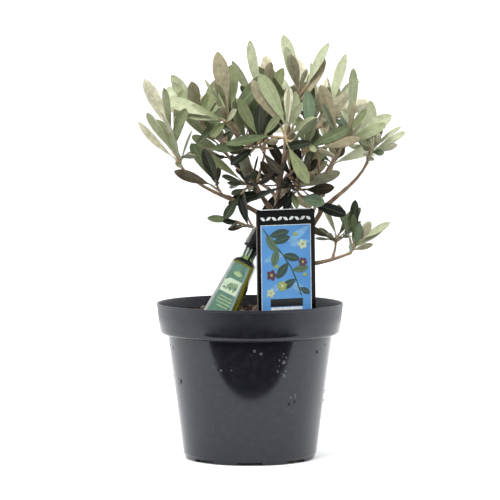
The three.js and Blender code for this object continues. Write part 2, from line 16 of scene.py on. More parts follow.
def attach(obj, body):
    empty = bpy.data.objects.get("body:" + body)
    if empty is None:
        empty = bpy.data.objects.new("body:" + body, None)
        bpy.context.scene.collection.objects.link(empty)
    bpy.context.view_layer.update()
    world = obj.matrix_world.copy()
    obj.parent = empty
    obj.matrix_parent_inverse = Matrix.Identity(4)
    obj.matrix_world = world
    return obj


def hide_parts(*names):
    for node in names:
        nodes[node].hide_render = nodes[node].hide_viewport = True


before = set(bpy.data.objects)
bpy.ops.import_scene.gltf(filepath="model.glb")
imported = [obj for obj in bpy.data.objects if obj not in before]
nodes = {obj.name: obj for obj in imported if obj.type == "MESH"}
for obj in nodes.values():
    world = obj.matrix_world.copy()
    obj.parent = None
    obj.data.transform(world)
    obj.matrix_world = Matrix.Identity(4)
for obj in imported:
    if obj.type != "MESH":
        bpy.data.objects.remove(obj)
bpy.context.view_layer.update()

MM = 0.001
BODY = "root"

# Camera: its distance and height, how far it looks down, and its lens for a 36 mm sensor
CAMERA_DISTANCE = 2631
CAMERA_HEIGHT = 372
CAMERA_PITCH = 3.97
CAMERA_LENS = 208.9
SENSOR = 36

# Light: the world's colour, its strength in front and behind, and its share below and above;
# the height the lamps aim at, and their names, places, sizes and power in watts
WORLD_COLOUR = (0.97, 0.985, 1, 1)
WORLD_FRONT_BACK = (0.62, 2.05)
WORLD_BELOW = (0.35, 1)
LAMP_AIM = 200
LAMPS = [
  ("key", (-700, -1300, 1900), 1100, 48),
  ("fill", (1500, -700, 1200), 900, 8),
]
# A dark flag lies just above the floor in front, seen only in reflections: half its width,
# how near it comes on both sides, and how far it reaches
FLAG_WIDE = 372
FLAG_NEAR_LEFT = 227
FLAG_NEAR_RIGHT = 207
FLAG_DEEP = 2400
FLOOR_REACH = 30000

# Pot, as in the source, and the finer steps of its profile here
GAP = 0.3
POT_HEIGHT = 141.5
RIM_RADIUS = 85
COLLAR_FOOT_RADIUS = 81.6
COLLAR_HEIGHT = 25.5
STEP_HEIGHT = POT_HEIGHT - COLLAR_HEIGHT
BODY_TOP_RADIUS = 75.2
BODY_FOOT_RADIUS = 61.1
BODY_FOOT_HEIGHT = 8
FOOT_RADIUS = 58.8
FOOT_WIDTH = 4.4
WALL = 1.5
EDGE = 1.8
BASE_RAISE = 3
BASE_TOP = BASE_RAISE + 1.6
PAD_RADIUS = 12
DRAIN_COUNT = 8
DRAIN_RADIUS = 4.5
DRAIN_CIRCLE = 45
DRAIN_SIDES = 24
NOTCH_COUNT = 8
NOTCH_WIDTH = 22
NOTCH_HEIGHT = 2.6
POT_SIDES = 144
WALL_STEP = 3
COLLAR_ROUNDING = 3.2
RIM_BEAD = 0.45
RIM_BEAD_LOW = 2.2
FOOT_STEP = 5.2
# Where the pot's wall turns dull, in metres, and how rough it is below and above
DULLING = (0.118, 0.13, 0.07, 0.36)

# Water drops on the pot's wall: each patch's heading, height, spread in degrees and in
# millimetres, and number of drops
DROP_PATCHES = [
  (249, 88, 9, 2, 14), (293, 92, 4, 12, 30), (333, 104, 9, 4, 9), (302, 57, 5, 11, 10),
  (273, 104, 5, 3, 7), (198, 105, 7, 5, 8), (206, 72, 3, 4, 4), (120, 80, 50, 30, 24),
  (20, 70, 30, 25, 12), (165, 75, 20, 25, 10),
]
DROP_RADII = (0.4, 1.6)
DROP_WIDTHS = (0.6, 1.2)
DROP_HEIGHTS = (0.6, 1.5)
DROP_SUNK = 0.1
DROP_SIDES = 8
# A drop's rings, each how far out and how wide, in radii
DROP_RINGS = ((-0.2, 1), (0.1, 1), (0.4, 0.75), (0.55, 0.3))
# Share of the drops in a dark colour, which is painted shade
DARK_DROP_SHARE = 0.4

# Soil, and the crumbs on it: name, colour, roughness and mottling of each kind
SOIL_LEVEL = 131.5
SOIL_RINGS = 84
SOIL_SIDES = 240
MOUND = 1.6
MOUND_LENGTH = 12
LUMP = 1.3
LUMP_LENGTH = 9
GRAIN = 0.55
GRAIN_LENGTH = 1.6
CRUMB_COUNT = 520
CRUMB_EDGE = 3
CRUMB_RADII = (0.6, 2.4)
CRUMB_LIFT = 0.3
CRUMB_WIDTHS = (0.5, 1)
CRUMB_HEIGHTS = (0.4, 0.9)
CRUMB_TILT = 0.8
CRUMB_LUMP = 0.45
# Powers by which most crumbs are small and most are dark
CRUMB_POWERS = (3, 3.4)
CRUMB_LOOKS = [
  ("dark", (27, 20, 16), 0.95, 700, 0.25, 0.2, 0.1),
  ("brown", (45, 33, 26), 0.9, 700, 0.25, 0.2, 0.1),
  ("bark", (68, 51, 39), 0.85, 500, 0.2, 0.2, 0.1),
  ("grit", (102, 94, 82), 0.8, 600, 0.12, 0.1),
]

# Trunk, as in the source
TRUNK_FOOT = (11, 3, SOIL_LEVEL)
TRUNK_TIP = (23.7, 2, 221)
TRUNK_LEAN = (0, 66)
TRUNK_ARRIVAL = (180, 76)
TRUNK_SUNK = 4
TRUNK_RADIUS = 6.3
TRUNK_TIP_RADIUS = 3.1
TRUNK_FLARE = 3.4
FLARE_FADE = 16
TRUNK_SIDES = 28
HANDLE = 0.35
# A bough's skin is slimmer at its tip than its solid. Limbs have knots, by width and height,
# slow waves, by length and height, and a collar that fades over this length
BOUGH_TIP_SLIM = 0.8
KNOT = (1.1, 0.1)
WAVE = (6, 0.07)
COLLAR_FADE = 3.5

# Boughs, as in the source: name, parent, share of the parent's length, heading and climb
# on leaving, tip, heading and climb on arriving, and radius at both ends
BOUGHS = [
  ("right", "trunk", 0.66, (0, 12), (65.5, 2, 226), (0, 62), (3.6, 2.5)),
  ("right_top", "right", 0.96, (175, 80), (78, -10, 275), (0, 52), (2.1, 1.5)),
  ("far_right", "right", 1, (0, 45), (105, 5, 266), (0, 62), (2.3, 1.5)),
  ("low_right", "trunk", 0.52, (345, -8), (89, -14, 187), (355, 22), (2.9, 1.6)),
  ("low_inner", "low_right", 0.78, (80, 55), (78, 5, 195), (80, 75), (1.5, 1.2)),
  ("low_left", "trunk", 0.78, (215, 20), (5, -11, 210), (190, 20), (1.8, 1.3)),
  ("far_left", "trunk", 0.82, (176, 58), (-61, -8, 264), (180, 52), (2.7, 1.4)),
  ("left_middle", "far_left", 0.5, (240, 60), (-27, -13, 243), (215, 60), (1.4, 1.2)),
  ("left", "trunk", 1, (180, 48), (2.7, -2, 255), (180, 68), (2.7, 2)),
  ("left_front", "left", 1, (205, 72), (-18, -25, 302), (180, 52), (1.9, 1.4)),
  ("left_inner", "left", 0.85, (270, 65), (-3, -16, 279), (250, 75), (1.5, 1.2)),
  ("left_top", "left_front", 0.25, (110, 68), (-12, 6, 299), (120, 78), (1.5, 1.2)),
  ("left_back", "left_front", 0.5, (140, 35), (-41, 12, 300), (160, 60), (1.4, 1.2)),
  ("centre", "trunk", 1, (60, 80), (26, 12, 249), (70, 84), (2.8, 2.2)),
  ("top_left", "centre", 1, (200, 82), (15, 5, 308), (175, 68), (1.9, 1.4)),
  ("top", "centre", 0.97, (345, 72), (42, 2, 313), (0, 74), (1.9, 1.4)),
  ("back_right", "centre", 0.8, (45, 50), (64, 52, 305), (30, 58), (1.9, 1.3)),
  ("back_top", "back_right", 0.45, (130, 72), (36, 29, 299), (120, 80), (1.5, 1.2)),
  ("front", "centre", 0.25, (278, 40), (31, -48, 290), (280, 66), (1.9, 1.4)),
  ("front_left", "front", 0.5, (200, 60), (11, -32, 282), (190, 70), (1.4, 1.2)),
  ("front_right", "front", 0.4, (0, 45), (48, -31, 277), (340, 68), (1.4, 1.2)),
  ("centre_left", "left", 0.35, (220, 50), (4, -17, 245), (195, 45), (1.5, 1.2)),
  ("centre_right", "centre", 0.4, (320, 45), (41, -12, 243), (350, 52), (1.6, 1.2)),
  ("centre_back", "centre", 0.3, (95, 40), (32, 32, 242), (60, 50), (1.5, 1.2)),
  ("right_inner", "right_top", 0.4, (110, 70), (60, 14, 295), (110, 76), (1.4, 1.2)),
  ("back_left", "centre", 0.5, (120, 42), (-18, 46, 270), (150, 52), (1.9, 1.4)),
  ("back", "back_left", 0.45, (80, 52), (14, 56, 284), (90, 66), (1.5, 1.2)),
  ("back_low", "right", 0.62, (80, 45), (74, 40, 260), (40, 60), (1.7, 1.3)),
]

# Masses, as in the source: name, length and width of the leaves, and for each shoot the
# share of the stem where it leaves, heading, climb, length and number of leaf pairs
MASSES = [
  ("far_left", (51, 13), (0, 180, 64, 37, 4), (0.15, 180, 44, 8, 1), (0.4, 182, 46, 8, 1),
    (0.35, 10, 30, 12, 1), (0.3, 265, 50, 9, 1)),
  ("left_front", (53, 14), (0, 168, 76, 13, 3), (0.4, 184, 22, 9, 2), (0.5, 20, 62, 10, 1)),
  ("left_middle", (40, 12), (0, 186, 58, 8, 2)),
  ("left_inner", (42, 12), (0, 250, 78, 14, 3), (0.4, 185, 30, 12, 1), (0.3, 350, 40, 12, 2)),
  ("left_top", (42, 12), (0, 130, 82, 14, 3), (0.4, 20, 35, 12, 2)),
  ("left_back", (44, 12), (0, 160, 60, 14, 3), (0.4, 120, 30, 16, 2), (0.5, 30, 50, 10, 1)),
  ("top_left", (48, 13), (0, 180, 69, 24, 3), (0.4, 175, 44, 10, 2), (0.35, 75, 45, 14, 2)),
  ("top", (46, 12), (0, 0, 78, 26, 3), (0.7, 355, 48, 12, 1), (0.6, 180, 80, 8, 1),
    (0.2, 180, 50, 10, 1)),
  ("back_right", (50, 13.5), (0, 0, 46, 20, 3), (0.4, 115, 50, 15, 2), (0.3, 60, 20, 16, 2)),
  ("back_top", (44, 12), (0, 120, 78, 18, 3), (0.4, 80, 35, 12, 1), (0.4, 190, 40, 12, 1)),
  ("right_top", (51, 13), (0, 5, 58, 28, 3), (0.5, 10, 40, 9, 1), (0.5, 180, 70, 14, 2),
    (0.2, 200, 40, 8, 1)),
  ("far_right", (42, 13), (0, 350, 62, 21, 4), (0.5, 20, 75, 8, 1), (0.6, 175, 66, 10, 1),
    (0.3, 90, 50, 9, 1)),
  ("right_inner", (40, 12), (0, 100, 76, 14, 3), (0.4, 20, 30, 10, 2), (0.4, 190, 30, 10, 1),
    (0.1, 350, -15, 10, 1)),
  ("front", (50, 15), (0, 310, 80, 13, 2), (0.2, 300, -15, 10, 1), (0.5, 190, 60, 9, 1),
    (0.4, 170, 0, 12, 1)),
  ("front_left", (38, 12), (0, 205, 62, 12, 3), (0.3, 190, -5, 10, 2), (0.2, 340, -10, 10, 1)),
  ("front_right", (42, 12), (0, 335, 58, 15, 3), (0.4, 350, 5, 11, 2), (0.2, 200, -10, 12, 1)),
  ("centre_left", (38, 11), (0, 190, 28, 13, 3), (0.3, 240, 66, 10, 2), (0.2, 330, 30, 12, 1),
    (0.2, 300, -30, 14, 2)),
  ("centre_right", (42, 12), (0, 350, 52, 16, 3), (0.3, 0, -5, 10, 2), (0.4, 190, 50, 12, 2),
    (0.2, 280, 10, 8, 1), (0.3, 285, -35, 14, 2), (0.6, 215, -10, 14, 2)),
  ("centre_back", (42, 12), (0, 40, 55, 14, 3), (0.3, 0, 10, 12, 2), (0.3, 170, 25, 14, 2),
    (0.3, 300, -25, 14, 2)),
  ("low_left", (28, 9), (0, 184, 14, 18, 3), (0.3, 175, 55, 8, 1)),
  ("low_right", (38, 13), (0, 0, 60, 13, 3), (0.3, 220, -12, 12, 1), (0.5, 170, 76, 9, 1),
    (0.6, 350, 40, 8, 1)),
  ("low_inner", (30, 12), (0, 275, 56, 8, 2), (0.5, 190, 20, 6, 1)),
  ("back_left", (50, 13.5), (0, 145, 50, 26, 3), (0.3, 205, 38, 16, 2), (0.5, 75, 62, 18, 2)),
  ("back", (50, 13.5), (0, 92, 60, 22, 3), (0.4, 30, 35, 16, 2), (0.5, 160, 50, 14, 1)),
  ("back_low", (46, 13), (0, 40, 58, 20, 3), (0.35, 85, 30, 16, 2), (0.5, 0, 70, 12, 1)),
]

# The rule's numbers, as in the source
CHANCE_SCALES = (12.9898, 78.233, 37.719, 4.581, 91.17)
REACH = 1.2
SHOOT_RISE = 14
TWIG_RADIUS = 1.25
TWIG_TIP_RADIUS = 0.85
TWIG_SUNK = 1.5
LEAF_THICKNESS = 1.1
LEAF_ROOT = 0.6
LEAF_WIDE_AT = 0.4
LEAF_NARROW_AT = 0.78
LEAF_NARROW_SHARE = 0.8
SPLAY = 42
LAST_SPLAY = 17
SPLAY_SPREAD = 18
ROLL_SPREAD = 50
TURNS = (0, 30, -30, 60, -60)
LEAF_LIFT = 0.12
FACE_SPREAD = 120
FACE_CLIMB = 25
FACE_SHARE = 0.7
STEM_SHARE = 0.4
UNDERSIDE_BELOW = 0.35
LENGTH_SPREAD = 0.24
WIDTH_SPREAD = 0.2
FIRST_PAIR_SHARE = 0.88
DROOP = 0.1
DROOP_SPREAD = 0.12

# Finer growth of the scene: young pairs at the shoots' ends and small side sprigs. FINE keeps
# the keys of their luck apart from the source's
FINE = 40
YOUNG_SHARE = 0.5
SPRIG_CHANCE = 0.75
SPRIG_LENGTH = 9
SPRIG_TURN = 75
SPRIG_DROP = 45
SPRIG_LEAF_SHARE = 0.62
SPRIG_RADII = (0.75, 0.525)

# A finished twig: pieces between its pairs, sides, swelling at a pair, and its bud
TWIG_STEPS = 4
TWIG_SIDES = 8
TWIG_SWELL = 0.18
BUD_LENGTH = 1.4
BUD_SHARES = (1.1, 0.3)

# More shoots of the scene, low in the crown's heart: mass, share of its stem, heading, climb,
# length and leaf pairs, and then the painted shade that darkens all their leaves
HEART_SHOOTS = [
  ("centre_right", 0.2, 25, -40, 14, 2), ("centre_left", 0.5, 340, 20, 14, 2),
  ("centre_back", 0.2, 80, -40, 12, 2), ("centre_back", 0.5, 200, -20, 14, 2),
  ("right_inner", 0.2, 250, -20, 12, 2), ("front_right", 0.2, 60, 30, 12, 2),
  ("front_left", 0.2, 60, 30, 12, 2), ("left_inner", 0.3, 60, 20, 12, 2),
  ("low_inner", 0.4, 20, 20, 8, 2), ("low_inner", 0.6, 300, 40, 8, 2),
  ("back", 0.2, 300, -10, 14, 2), ("back", 0.3, 250, -35, 14, 2),
  ("centre_back", 0.2, 215, -35, 14, 2), ("centre_left", 0.2, 20, -15, 12, 2),
  ("centre_right", 0.2, 330, -45, 14, 2), ("back_low", 0.2, 200, -5, 14, 2),
  ("back_left", 0.2, 300, -20, 14, 2), ("back_low", 0.2, 250, -40, 14, 2),
  ("left_top", 0.2, 300, -30, 12, 2), ("back_top", 0.2, 250, -30, 14, 2),
  ("left_middle", 0.1, 188, 28, 9, 1), ("left_inner", 0.6, 300, -60, 12, 1),
  ("low_inner", 0.6, 170, -72, 14, 1), ("left_inner", 0.7, 215, -60, 14, 1),
  ("front", 0.6, 285, -62, 10, 1), ("front_left", 0.6, 300, -60, 10, 1),
  ("front_left", 0.7, 215, -55, 12, 1), ("centre_left", 0.6, 230, -40, 12, 1),
]
HEART_SHADE = 1.5

# A finished blade: points along and across it, and how it folds, twists and bends
BLADE_STEPS = 12
BLADE_COLUMNS = (-1, -0.6, -0.07, 0.07, 0.6, 1)
RIB_COLUMN = 2
BLADE_THICKNESS = 0.42
BLADE_SLIM = 3.7
BLADE_STALK = 0.07
STALK_HALF = 0.5
BLADE_TIP_HALF = 0.15
BLADE_WIDEST = (1.35, 1.8)
BLADE_FULLNESS = (0.45, 0.72)
TROUGH = 0.11
TROUGH_SPREAD = (0.6, 1.5)
TWIST = 30
SIDE_BEND = 0.07

# Leaf tints, name, upper side and underside: six from the crown's outside to its heart, paler
# outside and darker inside as painted shade, then a bluer one that some leaves have
TINTS = [
  ("pale", (168, 174, 142), (198, 194, 170)),
  ("silver", (142, 150, 114), (180, 174, 148)),
  ("olive", (116, 124, 86), (156, 148, 122)),
  ("green", (86, 97, 66), (130, 121, 98)),
  ("deep", (46, 53, 38), (88, 80, 65)),
  ("dark", (21, 26, 20), (50, 45, 37)),
  ("jade", (102, 120, 94), (158, 154, 130)),
]
RIB_TINT = (214, 214, 160)
DEPTHS = 6
JADE_CHANCE = 0.16
# How deep a leaf sits, which darkens it as painted shade: the heart's middle and shape, how far
# from it the darkest and the palest tint begin, and how much luck shoots and leaves have in it
HEART = (18, 0, 246)
HEART_SHAPE = (1, 1, 0.85)
HEART_NEAR = 34
HEART_FAR = 104
SHOOT_LUCK = 1.8
LEAF_LUCK = 2.4

# Card, as in the source
CARD_WIDTH = 56
CARD_TOP = 229.2
CARD_FOOT = 124
CARD_THICKNESS = 0.8
CARD_CORNER = 3.6
CARD_PLACE = (33, -40)
CARD_TILT = 0.9
CARD_TURN = 20
STAKE_WIDTH = 15
STAKE_TIP_WIDTH = 4
STAKE_LENGTH = 58

# The card's print: its panel, pale line, lower band and bar, and the marks in its header, by
# the first one's left end, how far apart they are, their heights by turns, length and width
PANEL = (-23.3, 137, 23.5, 214.5)
PALE_LINE = 0.5
BAND = (-15.2, 141.8, 15.5, 148.6)
BAR = (-15.0, 138.6, 15.0, 141)
MARK_START = -24.2
MARK_STEP = 5.45
MARK_HEIGHTS = (222, 219.2)
MARK_SIZE = (5.6, 2.7)
MARK_COUNT = 9
# The print's generic sprig: its stem, each leaf's place on the panel, heading, length and
# width, each blossom's place, petal length, number of petals and ink, and the buds' places
SPRIG_STEM = [(-22, 212), (-12, 199), (-3, 188), (5, 176), (10, 164), (14, 152)]
SPRIG_LEAVES = [
  ((-19, 206), 305, 19, 8), ((-16, 205), 12, 20, 8), ((-12, 199), 18, 17, 7.5),
  ((-8, 194), 255, 17, 7.5), ((-3, 188), 345, 17, 7.5), ((2, 181), 232, 18, 8),
  ((6, 174), 8, 16, 7), ((9, 166), 212, 16, 7), ((13, 158), 330, 11, 5.5),
]
BLOSSOMS = [
  ((-14, 170), 5.2, 5, "plum"), ((-4, 160), 5, 6, "lime"), ((16, 197), 4.6, 5, "cream"),
  ((16, 181), 4.4, 6, "plum"), ((-15, 154), 4.2, 5, "cream"),
]
BUDS = [(-9, 177), (9, 206), (18, 169)]
# Paler leaves behind the sprig: place, heading and length
MIST_LEAVES = [
  ((22, 213), 215, 24), ((23, 200), 190, 20), ((-22, 182), 20, 22), ((-20, 150), 40, 20),
  ((22, 152), 150, 22),
]
# The print's inks and their colours, after the sky of the panel
PRINT_INKS = {
  "white": (214, 218, 218), "leaf": (30, 56, 48), "leaf_light": (74, 100, 74),
  "cream": (176, 190, 160), "plum": (72, 34, 54), "edge": (104, 97, 92),
  "lime": (138, 152, 84), "black": (15, 15, 18), "mist": (112, 158, 196),
}

# Bottle, as in the source, and its cap's finer ribs
BOTTLE_FOOT = (-32.6, -20, 121)
BOTTLE_LEAN = 26
BOTTLE_TURN = 9
BOTTLE_SIDE = 29
BOTTLE_SHOULDER_SIDE = 21
BOTTLE_BODY = 63
BOTTLE_SHOULDER = 6
BOTTLE_CORNER = 3
NECK_RADIUS = 6
NECK_LENGTH = 11
THREAD_RADIUS = 6.4
CAP_RADIUS = 9.2
CAP_TOP_RADIUS = 7.6
CAP_LENGTH = 17.5
CAP_OVERLAP = 0.6
CAP_SIDES = 72
CAP_RIB = 0.22
# Steps round each of the bottle's corners, and with them its upright strips
CORNER_STEPS = 6
BOTTLE_STRIPS = 4 * (CORNER_STEPS + 1)
# Rows of the glass from the foot: how many hold oil, and which are the neck's pale foot; above
# them some upright strips are painted highlights
OIL_ROWS = 5
NECK_FOOT_ROWS = (8, 9)
NECK_HIGHLIGHTS = (2, 6, 10, 18, 21, 24)
# Name, colour, roughness, ripples' scale and detail, their height, IOR and transmission
GLASS_LOOKS = [
  ("oil_in_glass", (112, 110, 34), 0.06, (40, 1), 0.06, 1.47, 0.5),
  ("neck_glass", (34, 40, 34), 0.05, (120, 2), 0.03, 1.5, 0.4),
  # Pale strips on the neck: painted highlights
  ("neck_painted_highlight", (176, 188, 176), 0.12, (200, 2), 0.03, 1.5, 0),
  ("neck_foot", (118, 142, 92), 0.1, (200, 2), 0.03, 1.5, 0),
]
# One side of the cap's seal is painted with a highlight, pale and then grey: in degrees from and to
CAP_HIGHLIGHT_PALE = (155, 212)
CAP_HIGHLIGHT_GREY = (212, 238)
CAP_LOOKS = [
  ("cap_black", (6, 6, 8), 0.2, 500, 0.1, 0.02, 0.3),
  # Pale and grey: a painted highlight
  ("cap_highlight_pale", (172, 170, 160), 0.25, 160, 0.16, 0.05),
  ("cap_highlight_grey", (92, 92, 88), 0.25, 160, 0.16, 0.05),
]

# The bottle's label: its lower and upper end, the strips that go on round its side and their
# width, its picture, and its lines by half their length
LABEL_ENDS = (11, 62.6)
LABEL_SIDE_STRIPS = 4
LABEL_SIDE_STEP = 0.9
LABEL_PICTURE = (-9, 34, 7, 47.8)
LABEL_LINES = (6.4, 7.2, 7.2, 5.4)
# The label's inks: name, colour, roughness, scale and spread of their mottling
LABEL_INKS = [
  ("green", (92, 126, 110), 0.5, 250, 0.1), ("mint", (196, 214, 186), 0.5, 200, 0.05),
  ("sage", (128, 152, 120), 0.5, 200, 0.08), ("slate", (92, 104, 110), 0.5, 200, 0.08),
  ("lime", (160, 184, 132), 0.5, 200, 0.06), ("edge", (128, 146, 152), 0.4, 200, 0.06),
  ("side", (142, 146, 142), 0.3, 200, 0.06),
]


def direction(heading, climb):
    level, turn = cos(radians(climb)), radians(heading)
    return Vector((level * cos(turn), level * sin(turn), sin(radians(climb))))


def chance(*keys):
    """A number from 0 to 1 that depends only on its keys"""
    total = 0
    for key, scale in zip(keys, CHANCE_SCALES):
        total += (key + 1) * scale
    wave = sin(total) * 43758.5453
    return wave - math.floor(wave)


def chances(*keys, number):
    return [chance(*keys, kind) for kind in range(number)]


def blend(low, high, share):
    return low + (high - low) * share


def srgb(colour):
    """Linear red, green, blue and 1 for a colour given from 0 to 255"""
    shares = [value / 255 for value in colour]
    return [s / 12.92 if s <= 0.04045 else ((s + 0.055) / 1.055) ** 2.4 for s in shares] + [1]


def set_up(thing, **settings):
    for setting, value in settings.items():
        setattr(thing, setting, value)
    return thing


def add_to_scene(name, data):
    added = bpy.data.objects.new(name, data)
    bpy.context.scene.collection.objects.link(added)
    return added


class Heap:
    """Points and faces of one piece, gathered part by part, with a material number for each face"""

    def __init__(self):
        self.points = []
        self.faces = []
        self.slots = []

    def add(self, points, faces, slots=0):
        start = len(self.points)
        self.points.extend(tuple(point) for point in points)
        self.faces.extend(tuple(index + start for index in face) for face in faces)
        self.slots.extend(slots if isinstance(slots, list) else [slots] * len(faces))


def make_object(name, heap, looks=(), sharp=None):
    """A mesh object from a heap in millimetres, smooth but for edges above the angle sharp"""
    mesh = bpy.data.meshes.new(name)
    mesh.from_pydata((np.array(heap.points) * MM).tolist(), [], heap.faces)
    for look in looks:
        mesh.materials.append(look)
    mesh.polygons.foreach_set("material_index", heap.slots)
    mesh.update()
    piece = add_to_scene(name, mesh)
    smooth(piece, sharp)
    return piece


def smooth(piece, sharp=None):
    piece.data.shade_smooth()
    if sharp is not None:
        piece.data.set_sharp_from_angle(angle=radians(sharp))


def settle(piece):
    """Applies the modifiers of a piece"""
    bpy.context.view_layer.update()
    made = bpy.data.meshes.new_from_object(piece.evaluated_get(bpy.context.evaluated_depsgraph_get()))
    piece.modifiers.clear()
    piece.data = made


def finish_piece(piece, slot, *replaced):
    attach(piece, BODY)
    if replaced:
        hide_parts(*replaced)


def make_piece(name, heap, looks, sharp, slot, *replaced):
    finish_piece(make_object(name, heap, looks, sharp), slot, *replaced)


# Materials


def plug(tree, socket, value):
    """Gives an input a value, or links it to an output"""
    if isinstance(value, bpy.types.NodeSocket):
        tree.links.new(value, socket)
    else:
        socket.default_value = value


def add_node(tree, kind, output, inputs=(), **settings):
    """One output of a new node, whose inputs are given in pairs of socket and value or output"""
    node = set_up(tree.nodes.new("ShaderNode" + kind), **settings)
    for socket, value in inputs:
        plug(tree, node.inputs[socket], value)
    return node.outputs[output]


def gradient(tree, places, axis, start, end, low, high):
    """A value that goes from low to high while one coordinate goes from start to end"""
    place = add_node(tree, "SeparateXYZ", axis, [("Vector", add_node(tree, "TexCoord", places))])
    ends = [("Value", place), ("From Min", start), ("From Max", end), ("To Min", low), ("To Max", high)]
    return add_node(tree, "MapRange", "Result", ends)


class Look:
    """A material, and the few procedural parts used here"""

    def __init__(self, name, colour=(128, 128, 128), roughness=0.5, **inputs):
        self.material = bpy.data.materials.new(name)
        self.material.use_nodes = True
        self.tree = self.material.node_tree
        self.put(Base_Color=srgb(colour), Roughness=roughness, **inputs)

    def put(self, **inputs):
        shader = self.tree.nodes["Principled BSDF"]
        for socket, value in inputs.items():
            plug(self.tree, shader.inputs[socket.replace("_", " ")], value)

    def speckle(self, scale, detail=3, stretch=(1, 1, 1)):
        """Noise over the piece's own coordinates"""
        places = add_node(self.tree, "TexCoord", "Object")
        mapped = add_node(self.tree, "Mapping", "Vector", [("Vector", places), ("Scale", stretch)])
        inputs = [("Vector", mapped), ("Scale", scale), ("Detail", detail)]
        return add_node(self.tree, "TexNoise", "Fac", inputs)

    def colour_by(self, factor, stops):
        """Colours from 0 to 255 dealt out by a factor: each stop is its place and colour"""
        ramp = self.tree.nodes.new("ShaderNodeValToRGB")
        elements = ramp.color_ramp.elements
        for element, (place, colour) in zip(elements, stops):
            set_up(element, position=place, color=srgb(colour))
        for place, colour in stops[2:]:
            elements.new(place).color = srgb(colour)
        plug(self.tree, ramp.inputs["Fac"], factor)
        self.put(Base_Color=ramp.outputs["Color"])

    def relief(self, factor, height, strength=1):
        """Bump of this height in millimetres"""
        inputs = [("Strength", strength), ("Distance", height * MM), ("Height", factor)]
        self.put(Normal=add_node(self.tree, "Bump", "Normal", inputs))


def shaded(colour, share):
    return tuple(min(255, value * share) for value in colour)


def mottled(name, colour, roughness, scale, spread=0.1, height=0.05, gloss=0.5):
    """A plain colour with slight lighter and darker mottling and a fine relief"""
    look = Look(name, colour, roughness, Specular_IOR_Level=gloss)
    factor = look.speckle(scale)
    look.colour_by(factor, [(0.3, shaded(colour, 1 - spread)), (0.7, shaded(colour, 1 + spread))])
    look.relief(factor, height)
    return look.material


def rippled(name, colour, roughness, ripples, height, strength=1, **inputs):
    """A plain colour with a relief, by the scale and detail of its ripples"""
    look = Look(name, colour, roughness, **inputs)
    look.relief(look.speckle(*ripples), height, strength)
    return look.material


def grained(name, roughness, grain, stops, bumps, height, strength=1, **inputs):
    """Colours dealt out by one noise and relief by another, each by its scale, detail and stretch"""
    look = Look(name, roughness=roughness, **inputs)
    look.colour_by(look.speckle(*grain), stops)
    look.relief(look.speckle(*bumps), height, strength)
    return look


def pot_plastic():
    """Smooth dark plastic with dull streaks, duller from the collar up"""
    stops = [(0.45, (29, 28, 36)), (0.7, (37, 37, 43)), (0.85, (62, 61, 62))]
    look = grained("pot_plastic", 0.1, (160, 6), stops, (22, 2, (1, 1, 0.35)), 0.22, 0.35,
                   IOR=1.5, Specular_Tint=(0.885, 0.915, 1, 1))
    upper = gradient(look.tree, "Object", "Z", *DULLING)
    streaks = [(0, look.speckle(110, 4, (1, 1, 0.08))), (1, 0.07), (2, upper)]
    look.put(Roughness=add_node(look.tree, "Math", "Value", streaks, operation="MULTIPLY_ADD"))
    return look.material


def bark(name, stops, scale, height):
    bumps = (3 * scale, 4, (1, 1, 0.35))
    return grained(name, 0.8, (scale, 5, (1, 1, 0.3)), stops, bumps, height).material


# Shapes


def spokes(sides):
    """Cosines and sines of even turns round a circle"""
    turns = [2 * pi * i / sides for i in range(sides)]
    return [(cos(turn), sin(turn)) for turn in turns]


def circle(radius, height, sides):
    return [(radius * c, radius * s, height) for c, s in spokes(sides)]


def skin(rings, sides, capped=True):
    faces = []
    for i in range(rings - 1):
        for j in range(sides):
            here, after = i * sides + j, i * sides + (j + 1) % sides
            faces.append((here, after, after + sides, here + sides))
    if capped:
        faces.append(tuple(reversed(range(sides))))
        faces.append(tuple(range((rings - 1) * sides, rings * sides)))
    return faces


def tube(path, radii, sides):
    """Points and faces of a closed tube along a path, a ring for each of its points"""
    points, side = [], None
    for i, centre in enumerate(path):
        ahead = (path[min(i + 1, len(path) - 1)] - path[max(i - 1, 0)]).normalized()
        if side is None:
            side = Vector((0, 0, 1)) if abs(ahead.z) < 0.9 else Vector((1, 0, 0))
        side = (side - ahead * side.dot(ahead)).normalized()
        across = ahead.cross(side)
        points += [centre + (side * c + across * s) * radii[i] for c, s in spokes(sides)]
    return points, skin(len(path), sides)


def rounded(corners, steps=5):
    """Points of a profile whose corners are cut back by their third number and rounded"""
    outline = []
    for i, (radius, height, cut) in enumerate(corners):
        here = Vector((radius, height))
        if cut == 0:
            outline.append(here)
            continue
        start = here + (Vector(corners[i - 1][:2]) - here).normalized() * cut
        end = here + (Vector(corners[i + 1][:2]) - here).normalized() * cut
        for k in range(steps + 1):
            share = k / steps
            outline.append(start * (1 - share) ** 2 + here * 2 * share * (1 - share) + end * share ** 2)
    return outline


def spaced(outline, longest):
    """The outline with points added, so that no stretch of it is longer than this"""
    finer = [outline[0]]
    for start, end in zip(outline, outline[1:]):
        steps = max(1, math.ceil((end - start).length / longest))
        finer += [start.lerp(end, (i + 1) / steps) for i in range(steps)]
    return finer


def lathe(outline, sides):
    """Points and faces of a closed solid turned from an outline that starts and ends on the axis"""
    points = [(0, 0, outline[0][1])]
    for radius, height in outline[1:-1]:
        points += circle(radius, height, sides)
    points.append((0, 0, outline[-1][1]))
    faces = [tuple(i + 1 for i in face) for face in skin(len(outline) - 2, sides, False)]
    last = len(points) - 1
    for j in range(sides):
        after = (j + 1) % sides
        faces.append((0, 1 + after, 1 + j))
        faces.append((last, last - sides + j, last - sides + after))
    return points, faces


